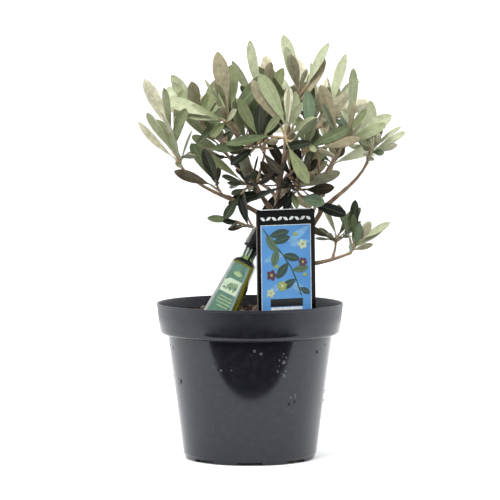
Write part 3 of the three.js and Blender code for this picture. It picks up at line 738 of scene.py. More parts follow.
def oblong(left, low, right, high, corner=0.0, steps=6):
    """A flat outline with these sides, seen anticlockwise, sharp or with rounded corners"""
    if corner == 0:
        return [(left, low), (right, low), (right, high), (left, high)]
    centres = [(right - corner, low + corner), (right - corner, high - corner),
               (left + corner, high - corner), (left + corner, low + corner)]
    outline = []
    for quarter, (u, v) in enumerate(centres):
        for k in range(steps + 1):
            turn = pi / 2 * (quarter - 1 + k / steps)
            outline.append((u + corner * cos(turn), v + corner * sin(turn)))
    return outline


def plate(outline, low, high, place):
    """Points and faces of a flat outline's closed plate between two levels"""
    return [place(u, v, level) for level in (low, high) for u, v in outline], skin(2, len(outline))


# Pot


def wall_radius(height):
    share = (height - BODY_FOOT_HEIGHT) / (STEP_HEIGHT - BODY_FOOT_HEIGHT)
    return blend(BODY_FOOT_RADIUS, BODY_TOP_RADIUS, share)


def pot_corners():
    """Radius, height and rounding of each corner, from the pad below round to the floor inside"""
    return [
        (0, 0, 0),
        (PAD_RADIUS, 0, 0.5),
        (PAD_RADIUS + EDGE, BASE_RAISE, 0.8),
        (FOOT_RADIUS - FOOT_WIDTH - EDGE, BASE_RAISE, 0.8),
        (FOOT_RADIUS - FOOT_WIDTH, 0, 0.8),
        (FOOT_RADIUS, 0, 1.4),
        (BODY_FOOT_RADIUS - EDGE / 2, FOOT_STEP - 0.6, 0.3),
        (wall_radius(FOOT_STEP), FOOT_STEP, 0.3),
        (BODY_TOP_RADIUS - 0.3, STEP_HEIGHT - 2 * EDGE, 0),
        (COLLAR_FOOT_RADIUS, STEP_HEIGHT - EDGE, COLLAR_ROUNDING),
        (RIM_RADIUS - RIM_BEAD, POT_HEIGHT - RIM_BEAD_LOW, 0.3),
        (RIM_RADIUS, POT_HEIGHT - RIM_BEAD_LOW + 0.5, 0.3),
        (RIM_RADIUS, POT_HEIGHT, 0.6),
        (RIM_RADIUS - WALL, POT_HEIGHT, 0.6),
        (COLLAR_FOOT_RADIUS - WALL, STEP_HEIGHT + EDGE, 3),
        (BODY_TOP_RADIUS - WALL, STEP_HEIGHT - EDGE, 1),
        (BODY_FOOT_RADIUS - WALL, BODY_FOOT_HEIGHT, 1),
        (FOOT_RADIUS - 2 * WALL, BASE_TOP, 1),
        (0, BASE_TOP, 0),
    ]


def make_pot():
    shell = Heap()
    shell.add(*lathe(spaced(rounded(pot_corners()), WALL_STEP), POT_SIDES))
    pot = make_object("pot_shell", shell, [pot_plastic()])
    cuts = Heap()
    for i in range(DRAIN_COUNT):
        centre = direction(360 * (i + 0.5) / DRAIN_COUNT, 0) * DRAIN_CIRCLE
        ends = [centre + Vector((0, 0, height)) for height in (-BASE_TOP, 2 * BASE_TOP)]
        cuts.add(*tube(ends, [DRAIN_RADIUS] * 2, DRAIN_SIDES))
    deep, half = 1.5 * FOOT_WIDTH, NOTCH_WIDTH / 2
    notch = oblong(FOOT_RADIUS - deep, -half, FOOT_RADIUS + deep, half)
    for i in range(NOTCH_COUNT):
        turned = Matrix.Rotation(2 * pi * i / NOTCH_COUNT - pi / 2, 3, "Z")
        cuts.add(*plate(notch, -NOTCH_HEIGHT, NOTCH_HEIGHT, lambda *place: turned @ Vector(place)))
    cutter = make_object("pot_cutter", cuts)
    openings = pot.modifiers.new("openings", "BOOLEAN")
    set_up(openings, operation="DIFFERENCE", solver="EXACT", object=cutter)
    settle(pot)
    bpy.data.objects.remove(cutter)
    smooth(pot, 32)
    finish_piece(pot, "pot", "pot")


def make_drops():
    """Small domes of water, pressed a little into the wall, some of them in a dark colour that is painted
    shade
    """
    drops = Heap()
    for number, (heading, height, wide, high, patch_count) in enumerate(DROP_PATCHES):
        for i in range(patch_count):
            luck = chances(number, i, number=6)
            turn = heading + wide * (2 * luck[0] - 1)
            up = height + high * (2 * luck[1] - 1)
            radius = blend(*DROP_RADII, luck[2] ** 2)
            outward = direction(turn, 0)
            centre = outward * (wall_radius(up) - DROP_SUNK) + Vector((0, 0, up))
            side = direction(turn + 90, 0) * radius * blend(*DROP_WIDTHS, luck[3])
            rise = Vector((0, 0, radius * blend(*DROP_HEIGHTS, luck[4])))
            points = [centre + outward * lift * radius + (side * c + rise * s) * share
                      for lift, share in DROP_RINGS for c, s in spokes(DROP_SIDES)]
            drops.add(points, skin(len(DROP_RINGS), DROP_SIDES), int(luck[5] < DARK_DROP_SHARE))
    water = rippled("water", (30, 32, 36), 0.05, (900, 1), 0.02, IOR=2)
    # The dark drops' colour is painted shade
    dark_drop = mottled("drop_painted_shade", (17, 16, 18), 0.5, 900, 0.2, 0.05, 0.2)
    make_piece("pot_drops", drops, [water, dark_drop], 60, "pot")


# Soil


def soil_height(x, y):
    """The soil's height, with the source's low mounds and finer lumps on them"""
    wave = sin(x / MOUND_LENGTH + 1) * cos(y / MOUND_LENGTH)
    lumps = noise.fractal(Vector((x, y, 0)) / LUMP_LENGTH, 0.8, 2.1, 4)
    grains = noise.noise(Vector((x, y, 5)) / GRAIN_LENGTH)
    return SOIL_LEVEL + MOUND * wave * 0.7 - GAP + LUMP * lumps + GRAIN * grains


def make_soil():
    collar_share = (SOIL_LEVEL - STEP_HEIGHT) / COLLAR_HEIGHT
    reach = blend(COLLAR_FOOT_RADIUS, RIM_RADIUS, collar_share) - WALL - GAP
    points = [(0, 0, soil_height(0, 0))]
    for i in range(1, SOIL_RINGS + 1):
        ring = circle(reach * i / SOIL_RINGS, 0, SOIL_SIDES)
        points += [(x, y, soil_height(x, y)) for x, y, _ in ring]
    below = [
        (COLLAR_FOOT_RADIUS - WALL - GAP, STEP_HEIGHT + EDGE),
        (BODY_TOP_RADIUS - WALL - GAP, STEP_HEIGHT - EDGE),
        (BODY_FOOT_RADIUS - WALL - GAP, BODY_FOOT_HEIGHT + GAP),
        (FOOT_RADIUS - 2.5 * WALL, BASE_TOP + GAP),
    ]
    for radius, height in below:
        points += circle(radius, height, SOIL_SIDES)
    rings = skin(SOIL_RINGS + len(below), SOIL_SIDES, False)
    faces = [tuple(k + 1 for k in reversed(face)) for face in rings]
    faces += [(0, 1 + j, 1 + (j + 1) % SOIL_SIDES) for j in range(SOIL_SIDES)]
    faces.append(tuple(reversed(range(len(points) - SOIL_SIDES, len(points)))))
    bed = Heap()
    bed.add(points, faces)
    stops = [(0.35, (27, 20, 16)), (0.6, (48, 36, 29)), (0.75, (70, 54, 43))]
    look = grained("soil", 0.95, (260, 6), stops, (900, 5), 0.5, Specular_IOR_Level=0.1)
    make_piece("soil_bed", bed, [look.material], None, "soil", "soil")
    make_crumbs(reach)


def make_crumbs(reach):
    """Crumbs of peat, grit and bark lying on the soil"""
    crumbs = Heap()
    points, faces = ball(3)
    for i in range(CRUMB_COUNT):
        luck = chances(i, number=8)
        out = (reach - CRUMB_EDGE) * math.sqrt(luck[1])
        radius = blend(*CRUMB_RADII, luck[2] ** CRUMB_POWERS[0])
        x, y = out * cos(2 * pi * luck[0]), out * sin(2 * pi * luck[0])
        centre = Vector((x, y, soil_height(x, y) + CRUMB_LIFT * radius))
        flat = Vector((1, blend(*CRUMB_WIDTHS, luck[3]), blend(*CRUMB_HEIGHTS, luck[4])))
        facing = Matrix.Rotation(6.3 * luck[5], 3, "Z") @ Matrix.Rotation(CRUMB_TILT * luck[6], 3, "X")
        lumpy = [p * radius * (1 + CRUMB_LUMP * noise.noise(p * 1.7 + centre)) for p in points]
        kind = int(3.999 * luck[7] ** CRUMB_POWERS[1])
        crumbs.add([centre + facing @ (p * flat) for p in lumpy], faces, kind)
    looks = [mottled(f"crumb_{name}", *row) for name, *row in CRUMB_LOOKS]
    make_piece("soil_crumbs", crumbs, looks, None, "soil")


def ball(cuts):
    """A unit ball of an octahedron's faces cut up evenly"""
    form = bmesh.new()
    ends = [form.verts.new(place) for place in ((1, 0, 0), (0, 1, 0), (-1, 0, 0), (0, -1, 0))]
    top, foot = form.verts.new((0, 0, 1)), form.verts.new((0, 0, -1))
    for i, end in enumerate(ends):
        after = ends[(i + 1) % 4]
        form.faces.new((end, after, top))
        form.faces.new((after, end, foot))
    bmesh.ops.subdivide_edges(form, edges=form.edges, cuts=cuts - 1, use_grid_fill=True)
    form.verts.index_update()
    points = [vertex.co.normalized() for vertex in form.verts]
    faces = [tuple(vertex.index for vertex in face.verts) for face in form.faces]
    form.free()
    return points, faces


# Limbs


def bend(start, leave, tip, arrive):
    """A curve that leaves and arrives with these headings and climbs, as a function of its share"""
    handle = HANDLE * (tip - start).length
    first = start + direction(*leave) * handle
    second = tip - direction(*arrive) * handle

    def place(share):
        rest = 1 - share
        return (start * rest ** 3 + first * (3 * rest * rest * share)
                + second * (3 * rest * share * share) + tip * share ** 3)

    return place


def bough_nodes():
    return [f"bough_{row[0]}" for row in BOUGHS]


def trunk_radius(share):
    return blend(TRUNK_RADIUS, TRUNK_TIP_RADIUS, share) + TRUNK_FLARE * math.exp(-FLARE_FADE * share)


def lay_out_limbs():
    """Each limb's curve, radius function and way of arriving, by name"""
    curve = bend(Vector(TRUNK_FOOT), TRUNK_LEAN, Vector(TRUNK_TIP), TRUNK_ARRIVAL)
    limbs = {"trunk": (curve, trunk_radius, direction(*TRUNK_ARRIVAL))}
    for name, parent, share, leave, tip, arrive, radii in BOUGHS:
        curve = bend(limbs[parent][0](share), leave, Vector(tip), arrive)
        radius = lambda along, radii=radii: blend(*radii, along)
        limbs[name] = (curve, radius, direction(*arrive))
    return limbs


def limb_tube(curve, radius, number, steps, sides, knots, collar):
    """A limb's tube, with slight knots this far apart where old leaves stood and a thicker start"""
    length = sum((curve((i + 1) / 20) - curve(i / 20)).length for i in range(20))
    path = [curve(i / steps) for i in range(steps + 1)]
    radii = []
    for i in range(steps + 1):
        share = i / steps
        place = share * length
        knot = KNOT[1] * math.exp(-((place % knots - knots / 2) / KNOT[0]) ** 2)
        wave = WAVE[1] * noise.noise(Vector((place / WAVE[0], number, 0)))
        start = 1 + collar * math.exp(-place / COLLAR_FADE)
        radii.append(radius(share) * start * (1 + knot + wave))
    return tube(path, radii, sides)


def roughen(piece, grooves, depth, stretch):
    """Moves a piece's points along their normals by noise that is drawn out upwards"""
    mesh = piece.data
    places = np.zeros(len(mesh.vertices) * 3)
    mesh.vertices.foreach_get("co", places)
    places = places.reshape(-1, 3)
    normals = np.array([vertex.normal for vertex in mesh.vertices])
    scaled = places / MM / grooves * np.array([1, 1, 1 / stretch])
    heights = np.array([noise.fractal(Vector(p), 0.9, 2.2, 3) for p in scaled])
    mesh.vertices.foreach_set("co", (places + normals * (heights * depth * MM)[:, None]).ravel())
    mesh.update()


def make_barked(name, heap, voxel, look, grooves, replaced):
    """The union of a heap's tubes as one even skin, with grooves of this width, depth and stretch"""
    piece = make_object(name, heap)
    set_up(piece.modifiers.new("skin", "REMESH"), mode="VOXEL", voxel_size=voxel * MM)
    set_up(piece.modifiers.new("relax", "SMOOTH"), factor=0.5, iterations=2)
    settle(piece)
    piece.data.materials.append(look)
    roughen(piece, *grooves)
    smooth(piece)
    finish_piece(piece, "bark", *replaced)


def make_limbs(limbs):
    stem, boughs = Heap(), Heap()
    curve, radius, _ = limbs["trunk"]
    foot, lean = Vector(TRUNK_FOOT), direction(*TRUNK_LEAN)
    stem.add(*limb_tube(curve, radius, 0, steps=60, sides=TRUNK_SIDES, knots=16, collar=0))
    stem.add(*tube([foot - lean * TRUNK_SUNK, foot + lean], [radius(0)] * 2, TRUNK_SIDES))
    for number, (name, *_) in enumerate(BOUGHS):
        curve, radius, _ = limbs[name]
        slim = lambda share: radius(share) * blend(1, BOUGH_TIP_SLIM, share)
        boughs.add(*limb_tube(curve, slim, number + 1, steps=36, sides=12, knots=11, collar=0.35))
    stops = [(0.3, (84, 68, 56)), (0.55, (128, 108, 90)), (0.75, (164, 146, 124))]
    make_barked("trunk_bark", stem, 0.5, bark("trunk_bark", stops, 90, 0.35), (2.2, 0.42, 5), ["trunk"])
    stops = [(0.3, (116, 94, 78)), (0.55, (158, 134, 112)), (0.75, (192, 172, 146))]
    look = bark("bough_bark", stops, 120, 0.15)
    make_barked("bough_bark", boughs, 0.46, look, (1.6, 0.12, 3), bough_nodes())


# Growth, by the source's rule


def node_shape(name):
    """A node's surface in millimetres, to test others against"""
    mesh = nodes[name].data
    points = [vertex.co / MM for vertex in mesh.vertices]
    return BVHTree.FromPolygons(points, [tuple(face.vertices) for face in mesh.polygons])


def tapering(start, end, number):
    return [blend(start, end, i / (number - 1)) for i in range(number)]


def twig_shape(path, radii):
    """A twig's surface, with room to spare"""
    return BVHTree.FromPolygons(*tube(path, [radius + GAP for radius in radii], 3))


def touches(shape, others):
    return any(shape.overlap(other) for other in others)


BLADE_FACES = [
    (0, 4, 1), (0, 3, 4), (3, 7, 4), (3, 6, 7), (6, 8, 7), (0, 5, 3), (0, 2, 5),
    (1, 5, 2), (1, 4, 5), (3, 5, 6), (4, 7, 5), (6, 5, 8), (7, 8, 5), (0, 1, 2),
]


def blade_shape(leaf, extra):
    """The source's solid of a leaf, grown by extra on all sides"""
    root, along, face, length = leaf["root"], leaf["along"], leaf["face"], leaf["length"]
    across = face.cross(along)

    def place(share, side, up):
        bent = up - leaf["droop"] * length * share * share
        return root + along * (share * length) + across * side + face * bent

    half = leaf["width"] / 2 + extra
    narrow = half * LEAF_NARROW_SHARE
    points = [
        place(0, -LEAF_ROOT, LEAF_ROOT / 2),
        place(0, LEAF_ROOT, LEAF_ROOT / 2),
        place(0, 0, -LEAF_ROOT),
        place(LEAF_WIDE_AT, -half, extra),
        place(LEAF_WIDE_AT, half, extra),
        place(LEAF_WIDE_AT, 0, -LEAF_THICKNESS - extra),
        place(LEAF_NARROW_AT, -narrow, extra),
        place(LEAF_NARROW_AT, narrow, extra),
        place(1 + extra / length, 0, 0),
    ]
    return BVHTree.FromPolygons(points, BLADE_FACES)


def shoot_path(start, heading, climb, length, steps):
    path = [start]
    for i in range(steps):
        rise = climb + SHOOT_RISE * ((i + 0.5) / steps)
        path.append(path[i] + direction(heading, rise) * (length / steps))
    return path


def path_point(path, share):
    place = share * (len(path) - 1)
    before = min(int(place), len(path) - 2)
    return path[before].lerp(path[before + 1], place - before)


def leaf_at(keys, path, pair, side, size, turn):
    """One leaf of a pair, as in the source, and the luck its finished blade and tint draw on"""
    lucks = chances(*keys, pair, side, number=13)
    luck = [share - 0.5 for share in lucks]
    last = len(path) - 1
    stem = (path[pair] - path[pair - 1]).normalized()
    sideways = (stem.cross(direction(90, 0)) + stem * 0.01).normalized()
    forwards = stem.cross(sideways)
    roll = radians(90 * (last - pair) + 180 * side + ROLL_SPREAD * luck[0] + turn)
    outward = sideways * cos(roll) + forwards * sin(roll)
    splay = radians((LAST_SPLAY if pair == last else SPLAY) + SPLAY_SPREAD * luck[1])
    along = stem * cos(splay) + outward * sin(splay)
    along.z += LEAF_LIFT
    along.normalize()
    shown = FACE_SHARE if lucks[6] > UNDERSIDE_BELOW else -FACE_SHARE
    face = direction(270 + FACE_SPREAD * luck[2], FACE_CLIMB) * shown + stem * STEM_SHARE
    face = (face - along * face.dot(along)).normalized()
    return {
        "root": path[pair] - outward * (LEAF_ROOT / 2),
        "along": along,
        "face": face,
        "length": size[0] * (1 + LENGTH_SPREAD * luck[3]) * (FIRST_PAIR_SHARE if pair == 1 else 1),
        "width": size[1] * (1 + WIDTH_SPREAD * luck[4]),
        "droop": DROOP + DROOP_SPREAD * luck[5],
        "luck": lucks[7:],
    }


def fitting_leaf(keys, path, pair, side, size, mass, others, turned):
    """The first try that stays in the mass's reach and touches nothing"""
    for turn in TURNS:
        leaf = leaf_at(keys, path, pair, side, size, turned + turn)
        tip = leaf["root"] + leaf["along"] * leaf["length"]
        near = (tip - mass["tip"]).length < mass["reach"]
        if near and not touches(blade_shape(leaf, GAP), others):
            return leaf
    return None


class Crown:
    """All shoots and leaves: the source's own, then the finer ones"""

    def __init__(self, limbs):
        self.limbs = limbs
        names = ["trunk", *bough_nodes(), "card", "bottle", "bottle_cap"]
        self.solids = [node_shape(name) for name in names]
        self.twigs = []
        self.leaves = []
        self.shoots = []

    def add_pair(self, keys, path, pair, size, mass, luck, others, turned=0):
        """Adds those leaves of a pair that find room among the others, and joins them to the others"""
        for side in (0, 1):
            leaf = fitting_leaf(keys, path, pair, side, size, mass, others, turned)
            if leaf:
                leaf["tint"] = tint_of(leaf, luck)
                self.leaves.append(leaf)
                others.append(blade_shape(leaf, 0))

    def grow_mass(self, number, row, solids):
        name, size, *shoots = row
        curve, radius, outward = self.limbs[name]
        mass = {"number": number, "size": size, "tip": curve(1), "reach": REACH * (shoots[0][3] + size[0])}
        foot = mass["tip"] + outward * (1.5 * GAP)
        others, stem = list(solids), None
        for order, (share, heading, climb, length, pairs) in enumerate(shoots):
            start = path_point(stem, share) if stem else foot
            path = shoot_path(start, heading, climb, length, pairs)
            if stem is None:
                path.insert(1, foot + outward * radius(1))
                stem = path
            thick = TWIG_RADIUS if order else radius(1)
            radii = tapering(thick, TWIG_TIP_RADIUS, len(path))
            if touches(twig_shape(path, radii), solids):
                continue
            self.twigs.append((path, radii))
            luck = SHOOT_LUCK * (chance(number, order, 11) - 0.5)
            self.shoots.append((mass, order, path, heading, climb, luck))
            for pair in range(1 if order else 2, len(path)):
                self.add_pair((number, order), path, pair, size, mass, luck, others)

    def grow(self):
        solids = list(self.solids)
        for number, row in enumerate(MASSES):
            self.grow_mass(number, row, solids)
            solids.append(node_shape(f"foliage_{row[0]}"))
        self.others = self.solids + [blade_shape(leaf, 0) for leaf in self.leaves]

    def add_shoot(self, keys, path, ends, size, mass, luck, bare):
        """Adds a shoot that touches nothing, with the leaves that find room, or bare where it may be"""
        radii = tapering(*ends, len(path))
        if touches(twig_shape(path, radii), self.solids):
            return
        before = len(self.leaves)
        for pair in range(1, len(path)):
            self.add_pair(keys, path, pair, size, mass, luck, self.others)
        if bare or len(self.leaves) > before:
            self.twigs.append((path, radii))

    def grow_heart(self):
        """More shoots low on the masses' stems, to fill the crown's heart"""
        stems = {MASSES[mass["number"]][0]: (mass, path, luck)
                 for mass, order, path, _, _, luck in self.shoots if order == 0}
        for order, (name, share, *way) in enumerate(HEART_SHOOTS):
            mass, stem, luck = stems[name]
            path = shoot_path(path_point(stem, share), *way)
            keys = (mass["number"], 2 * FINE + order)
            ends = (TWIG_RADIUS, TWIG_TIP_RADIUS)
            # Their leaves are darkened as painted shade in the crown's heart
            self.add_shoot(keys, path, ends, mass["size"], mass, luck + HEART_SHADE, True)

    def grow_finer(self):
        """Young pairs at the ends of the shoots, and small sprigs in the leaves' angles"""
        for mass, order, path, heading, climb, luck in self.shoots:
            keys, last = (mass["number"], order + FINE), len(path) - 1
            young = [YOUNG_SHARE * length for length in mass["size"]]
            self.add_pair(keys, path, last, young, mass, luck, self.others, 90)
            for pair in range(1, last):
                for side in (-1, 1):
                    lucks = chances(*keys, pair, side + 5, number=5)
                    if lucks[0] > SPRIG_CHANCE:
                        continue
                    turn = heading + side * SPRIG_TURN * blend(0.6, 1.4, lucks[1])
                    rise = blend(climb - SPRIG_DROP, climb, lucks[2])
                    length = SPRIG_LENGTH * blend(0.6, 1.3, lucks[3])
                    share = SPRIG_LEAF_SHARE * blend(0.8, 1.15, lucks[4])
                    small = [share * length for length in mass["size"]]
                    sprig = shoot_path(path[pair], turn, rise, length, 2)
                    seed = (keys[0], keys[1] + FINE * (pair + side + 5))
                    self.add_shoot(seed, sprig, SPRIG_RADII, small, mass, luck, False)


def tint_of(leaf, luck):
    """A leaf's tint: pale at the crown's outside and dark in its heart as painted shade, with luck by
    shoot and leaf
    """
    away = leaf["root"] + leaf["along"] * (leaf["length"] / 2) - Vector(HEART)
    depth = Vector(a * b for a, b in zip(away, HEART_SHAPE)).length
    share = 1 - (depth - HEART_NEAR) / (HEART_FAR - HEART_NEAR)
    tint = round(share * (DEPTHS - 1) + luck + LEAF_LUCK * (leaf["luck"][4] - 0.5))
    if 0 < tint < DEPTHS - 2 and leaf["luck"][5] < JADE_CHANCE:
        return DEPTHS
    return min(DEPTHS - 1, max(0, tint))


# Leaves as meshes


def blade_half(share, leaf):
    """Half the width of a blade at each share of its length"""
    past = np.clip((share - BLADE_STALK) / (1 - BLADE_STALK), 0, 1)
    full = np.sin(np.pi * past ** blend(*BLADE_WIDEST, leaf["luck"][1]))
    full = full ** blend(*BLADE_FULLNESS, leaf["luck"][0])
    least = blend(STALK_HALF, BLADE_TIP_HALF, share)
    return np.maximum(min(leaf["width"], leaf["length"] / BLADE_SLIM) / 2 * full, least)


def blade_mesh(leaf):
    """Points of a finished blade: its upper side row by row, then its underside"""
    even = np.linspace(0, 1, BLADE_STEPS + 1)
    share = (even + 0.5 - 0.5 * np.cos(np.pi * even)) / 2
    along, face = np.array(leaf["along"]), np.array(leaf["face"])
    across = np.cross(face, along)
    length, luck = leaf["length"], leaf["luck"]
    half = blade_half(share, leaf)
    sag = leaf["droop"] * length * share ** 2
    sway = SIDE_BEND * length * (luck[1] - 0.5) * share ** 2
    middle = (np.array(leaf["root"]) + np.outer(share * length, along)
              - np.outer(sag, face) + np.outer(sway, across))
    turn = np.radians(TWIST * (luck[2] - 0.5)) * share
    side = np.outer(np.cos(turn), across) + np.outer(np.sin(turn), face)
    up = np.outer(np.cos(turn), face) - np.outer(np.sin(turn), across)
    columns = np.array(BLADE_COLUMNS)
    wide = np.outer(half, columns)
    open_share = np.clip(half / leaf["width"] * 2, 0, 1)
    fold = TROUGH * leaf["width"] * blend(*TROUGH_SPREAD, luck[3])
    dip = -fold * np.outer(open_share, 1 - np.abs(columns) ** 1.5)
    thick = np.where(share < BLADE_STALK, 2 * STALK_HALF, BLADE_THICKNESS)
    upper = middle[:, None] + side[:, None] * wide[..., None] + up[:, None] * dip[..., None]
    lower = upper - up[:, None] * thick[:, None, None]
    return np.concatenate([upper.reshape(-1, 3), lower.reshape(-1, 3)])


def blade_faces():
    """Faces of a finished blade, with 0 for its upper side, 1 for the rib and 2 for the underside"""
    wide = len(BLADE_COLUMNS)
    below = (BLADE_STEPS + 1) * wide
    end = BLADE_STEPS * wide
    faces, slots = [], []
    for i in range(BLADE_STEPS):
        for j in range(wide - 1):
            here = i * wide + j
            upper = (here, here + wide, here + wide + 1, here + 1)
            faces += [upper, tuple(below + k for k in reversed(upper))]
            slots += [1, 1] if j == RIB_COLUMN else [0, 2]
    for i in range(BLADE_STEPS):
        left, right = i * wide, i * wide + wide - 1
        faces.append((left, below + left, below + left + wide, left + wide))
        faces.append((right, right + wide, below + right + wide, below + right))
    for j in range(wide - 1):
        faces.append((j, j + 1, below + j + 1, below + j))
        faces.append((end + j, below + end + j, below + end + j + 1, end + j + 1))
    return faces, slots + [2] * (len(faces) - len(slots))


def leaf_looks(name, upper, under):
    gloss = blend(0.15, 0.45, min(1, upper[1] / 130))
    rib = tuple(blend(a, b, 0.2) for a, b in zip(upper, RIB_TINT))
    return [
        mottled(f"leaf_{name}_upper", upper, 0.44, 210, 0.08, 0.1, gloss),
        mottled(f"leaf_{name}_rib", rib, 0.5, 260, 0.05, 0.03),
        mottled(f"leaf_{name}_under", under, 0.7, 260, 0.11, 0.08, gloss / 2),
    ]


def make_foliage(crown):
    faces, slots = blade_faces()
    masses = [f"foliage_{row[0]}" for row in MASSES]
    # The tints run from pale outside to dark in the heart as painted shade
    for number, (name, upper, under) in enumerate(TINTS):
        heap = Heap()
        for leaf in crown.leaves:
            if leaf["tint"] == number:
                heap.add(blade_mesh(leaf), faces, slots)
        looks = leaf_looks(name, upper, under)
        make_piece(f"leaves_{name}", heap, looks, 60, "foliage", *masses)
    make_twigs(crown, masses)


def make_twigs(crown, masses):
    """Rounded twigs that swell a little at each pair of leaves and end in a bud"""
    twigs = Heap()
    for path, radii in crown.twigs:
        back = (path[0] - path[1]).normalized() * TWIG_SUNK
        path = [path[0] + back] + path[1:]
        fine_path, fine_radii = [], []
        for i in range(len(path) - 1):
            for k in range(TWIG_STEPS):
                share = k / TWIG_STEPS
                swell = TWIG_SWELL * math.exp(-k * k) if i else 0
                fine_path.append(path[i].lerp(path[i + 1], share))
                fine_radii.append(blend(radii[i], radii[i + 1], share) * (1 + swell))
        fine_path += [path[-1], path[-1] + (path[-1] - path[-2]).normalized() * BUD_LENGTH]
        fine_radii += [radii[-1] * share for share in BUD_SHARES]
        twigs.add(*tube(fine_path, fine_radii, TWIG_SIDES))
    stops = [(0.35, (150, 126, 98)), (0.65, (182, 164, 128))]
    look = grained("twig", 0.65, (150, 3), stops, (900, 3), 0.08)
    make_piece("twigs", twigs, [look.material], 70, "bark", *masses)


# Prints, of flat plates laid on each other


def petal(root, heading, length, width, fullness=0.9, steps=9):
    """A leaf or petal outline that starts at its root"""
    c, s = cos(radians(heading)), sin(radians(heading))
    place = lambda ahead, aside: (root[0] + c * ahead - s * aside, root[1] + s * ahead + c * aside)
    shares = [i / steps for i in range(1, steps)]
    halves = [(length * t, width / 2 * sin(pi * t ** 1.1) ** fullness) for t in shares]
    right = [place(ahead, -half) for ahead, half in halves]
    left = [place(ahead, half) for ahead, half in reversed(halves)]
    return [root] + right + [place(length, 0)] + left


def disc(centre, radius, steps=16):
    return [(centre[0] + radius * c, centre[1] + radius * s) for c, s in spokes(steps)]


def layers(heap, low, high, step, place, inks):
    """A function that lays an outline on those before it, a step higher, in one of the inks"""
    levels = count(1)

    def lay(outline, ink):
        heap.add(*plate(outline, low, high + step * next(levels), place), inks.index(ink))

    return lay


# Card


def card_place():
    middle = Matrix.Translation((*CARD_PLACE, CARD_FOOT))
    turn = Matrix.Rotation(radians(CARD_TURN), 4, "Z")
    whole = middle @ turn @ Matrix.Rotation(-radians(CARD_TILT), 4, "Y")
    return lambda across, up, out: whole @ Vector((across, -out, up - CARD_FOOT))


def make_card():
    place = card_place()
    half, neck, tip = CARD_WIDTH / 2, STAKE_WIDTH / 2, STAKE_TIP_WIDTH / 2
    top = oblong(-half, CARD_FOOT, half, CARD_TOP, CARD_CORNER)
    steps = len(top) // 4
    outline = [(-neck, CARD_FOOT), (-tip, CARD_FOOT - STAKE_LENGTH), (tip, CARD_FOOT - STAKE_LENGTH),
               (neck, CARD_FOOT), (half, CARD_FOOT)] + top[steps:3 * steps] + [(-half, CARD_FOOT)]
    surface = CARD_THICKNESS / 2
    body = Heap()
    body.add(*plate(outline, -surface, surface, place))
    black = mottled("card_black", (5, 5, 6), 0.3, 300, 0.12, 0.03, 0.14)
    card = make_object("card_body", body, [black])
    set_up(card.modifiers.new("edges", "BEVEL"), width=0.15 * MM, segments=2)
    settle(card)
    smooth(card, 30)
    finish_piece(card, "card", "card")
    make_print(place, surface)


def make_print(place, surface):
    ink = Heap()
    lay = layers(ink, surface - 0.02, surface + 0.05, 0.004, place, ["sky", *PRINT_INKS])
    left, low, right, high = PANEL
    half = CARD_WIDTH / 2
    lay(oblong(0.05 - half, CARD_FOOT + 1, 0.9 - half, CARD_TOP - CARD_CORNER), "edge")
    # A thin white line along the card's top edge, a painted highlight of its bevel
    lay(oblong(CARD_CORNER - half, CARD_TOP - 0.8, half - CARD_CORNER, CARD_TOP - 0.1), "white")
    lay(oblong(left - PALE_LINE, low - PALE_LINE, right + PALE_LINE, high + PALE_LINE), "white")
    lay(oblong(*PANEL), "sky")
    for root, heading, length in MIST_LEAVES:
        lay(petal(root, heading, length, length / 3.4, 0.7), "mist")
    for i in range(MARK_COUNT):
        root = (MARK_START + MARK_STEP * i, MARK_HEIGHTS[i % 2])
        lay(petal(root, 32 if i % 2 else -32, *MARK_SIZE), "white")
    for (u, v), (w, x) in zip(SPRIG_STEM, SPRIG_STEM[1:]):
        heading = math.degrees(math.atan2(x - v, w - u))
        lay(petal((u, v), heading, 1.15 * math.hypot(w - u, x - v), 1.3, 0.2), "leaf")
    for i, (root, heading, length, width) in enumerate(SPRIG_LEAVES):
        leaf, vein = ("leaf", "leaf_light") if i % 3 else ("leaf_light", "leaf")
        lay(petal(root, heading, length, width, 0.75), leaf)
        lay(petal(root, heading, length * 0.92, 0.5, 0.4), vein)
    for i, (centre, length, petals, name) in enumerate(BLOSSOMS):
        for k in range(petals):
            lay(petal(centre, 360 / petals * k + 17 * i, length, length * 0.72, 0.6), name)
        lay(disc(centre, length * 0.26), "cream" if name == "lime" else "lime")
    for u, v in BUDS:
        lay(petal((u - 2.4, v), 15, 4.8, 3.2, 0.7), "lime")
    lay(oblong(*BAND), "black")
    lay(oblong(*BAR), "white")
    stops = [(0.3, (66, 126, 186)), (0.7, (88, 148, 204))]
    sky = grained("print_sky", 0.35, (22, 2), stops, (400, 2), 0.01).material
    inks = [mottled(f"print_{name}", tint, 0.35, 350, 0.08, 0.01) for name, tint in PRINT_INKS.items()]
    make_piece("card_print", ink, [sky, *inks], 30, "card", "card")


# Bottle


def bottle_frame():
    lean = Matrix.Rotation(radians(BOTTLE_LEAN), 4, "Y")
    turn = Matrix.Rotation(-radians(BOTTLE_TURN), 4, "Z")
    return Matrix.Translation(BOTTLE_FOOT) @ lean @ turn


def square_ring(side, height, corner):
    """A ring that starts at the right corner at the back"""
    half = side / 2
    ring = [Vector((x, y, height)) for x, y in oblong(-half, -half, half, half, corner, CORNER_STEPS)]
    return ring[CORNER_STEPS + 1:] + ring[:CORNER_STEPS + 1]


def glass_slot(face):
    """Oil below, glass above it with painted highlights in upright streaks, and the neck's pale foot
    between
    """
    row, column = divmod(face[0], BOTTLE_STRIPS)
    if len(face) > 4 or row < OIL_ROWS:
        return 0
    if row in NECK_FOOT_ROWS and column % 5 != 2:
        return 3
    return 2 if row > NECK_FOOT_ROWS[-1] and column in NECK_HIGHLIGHTS else 1


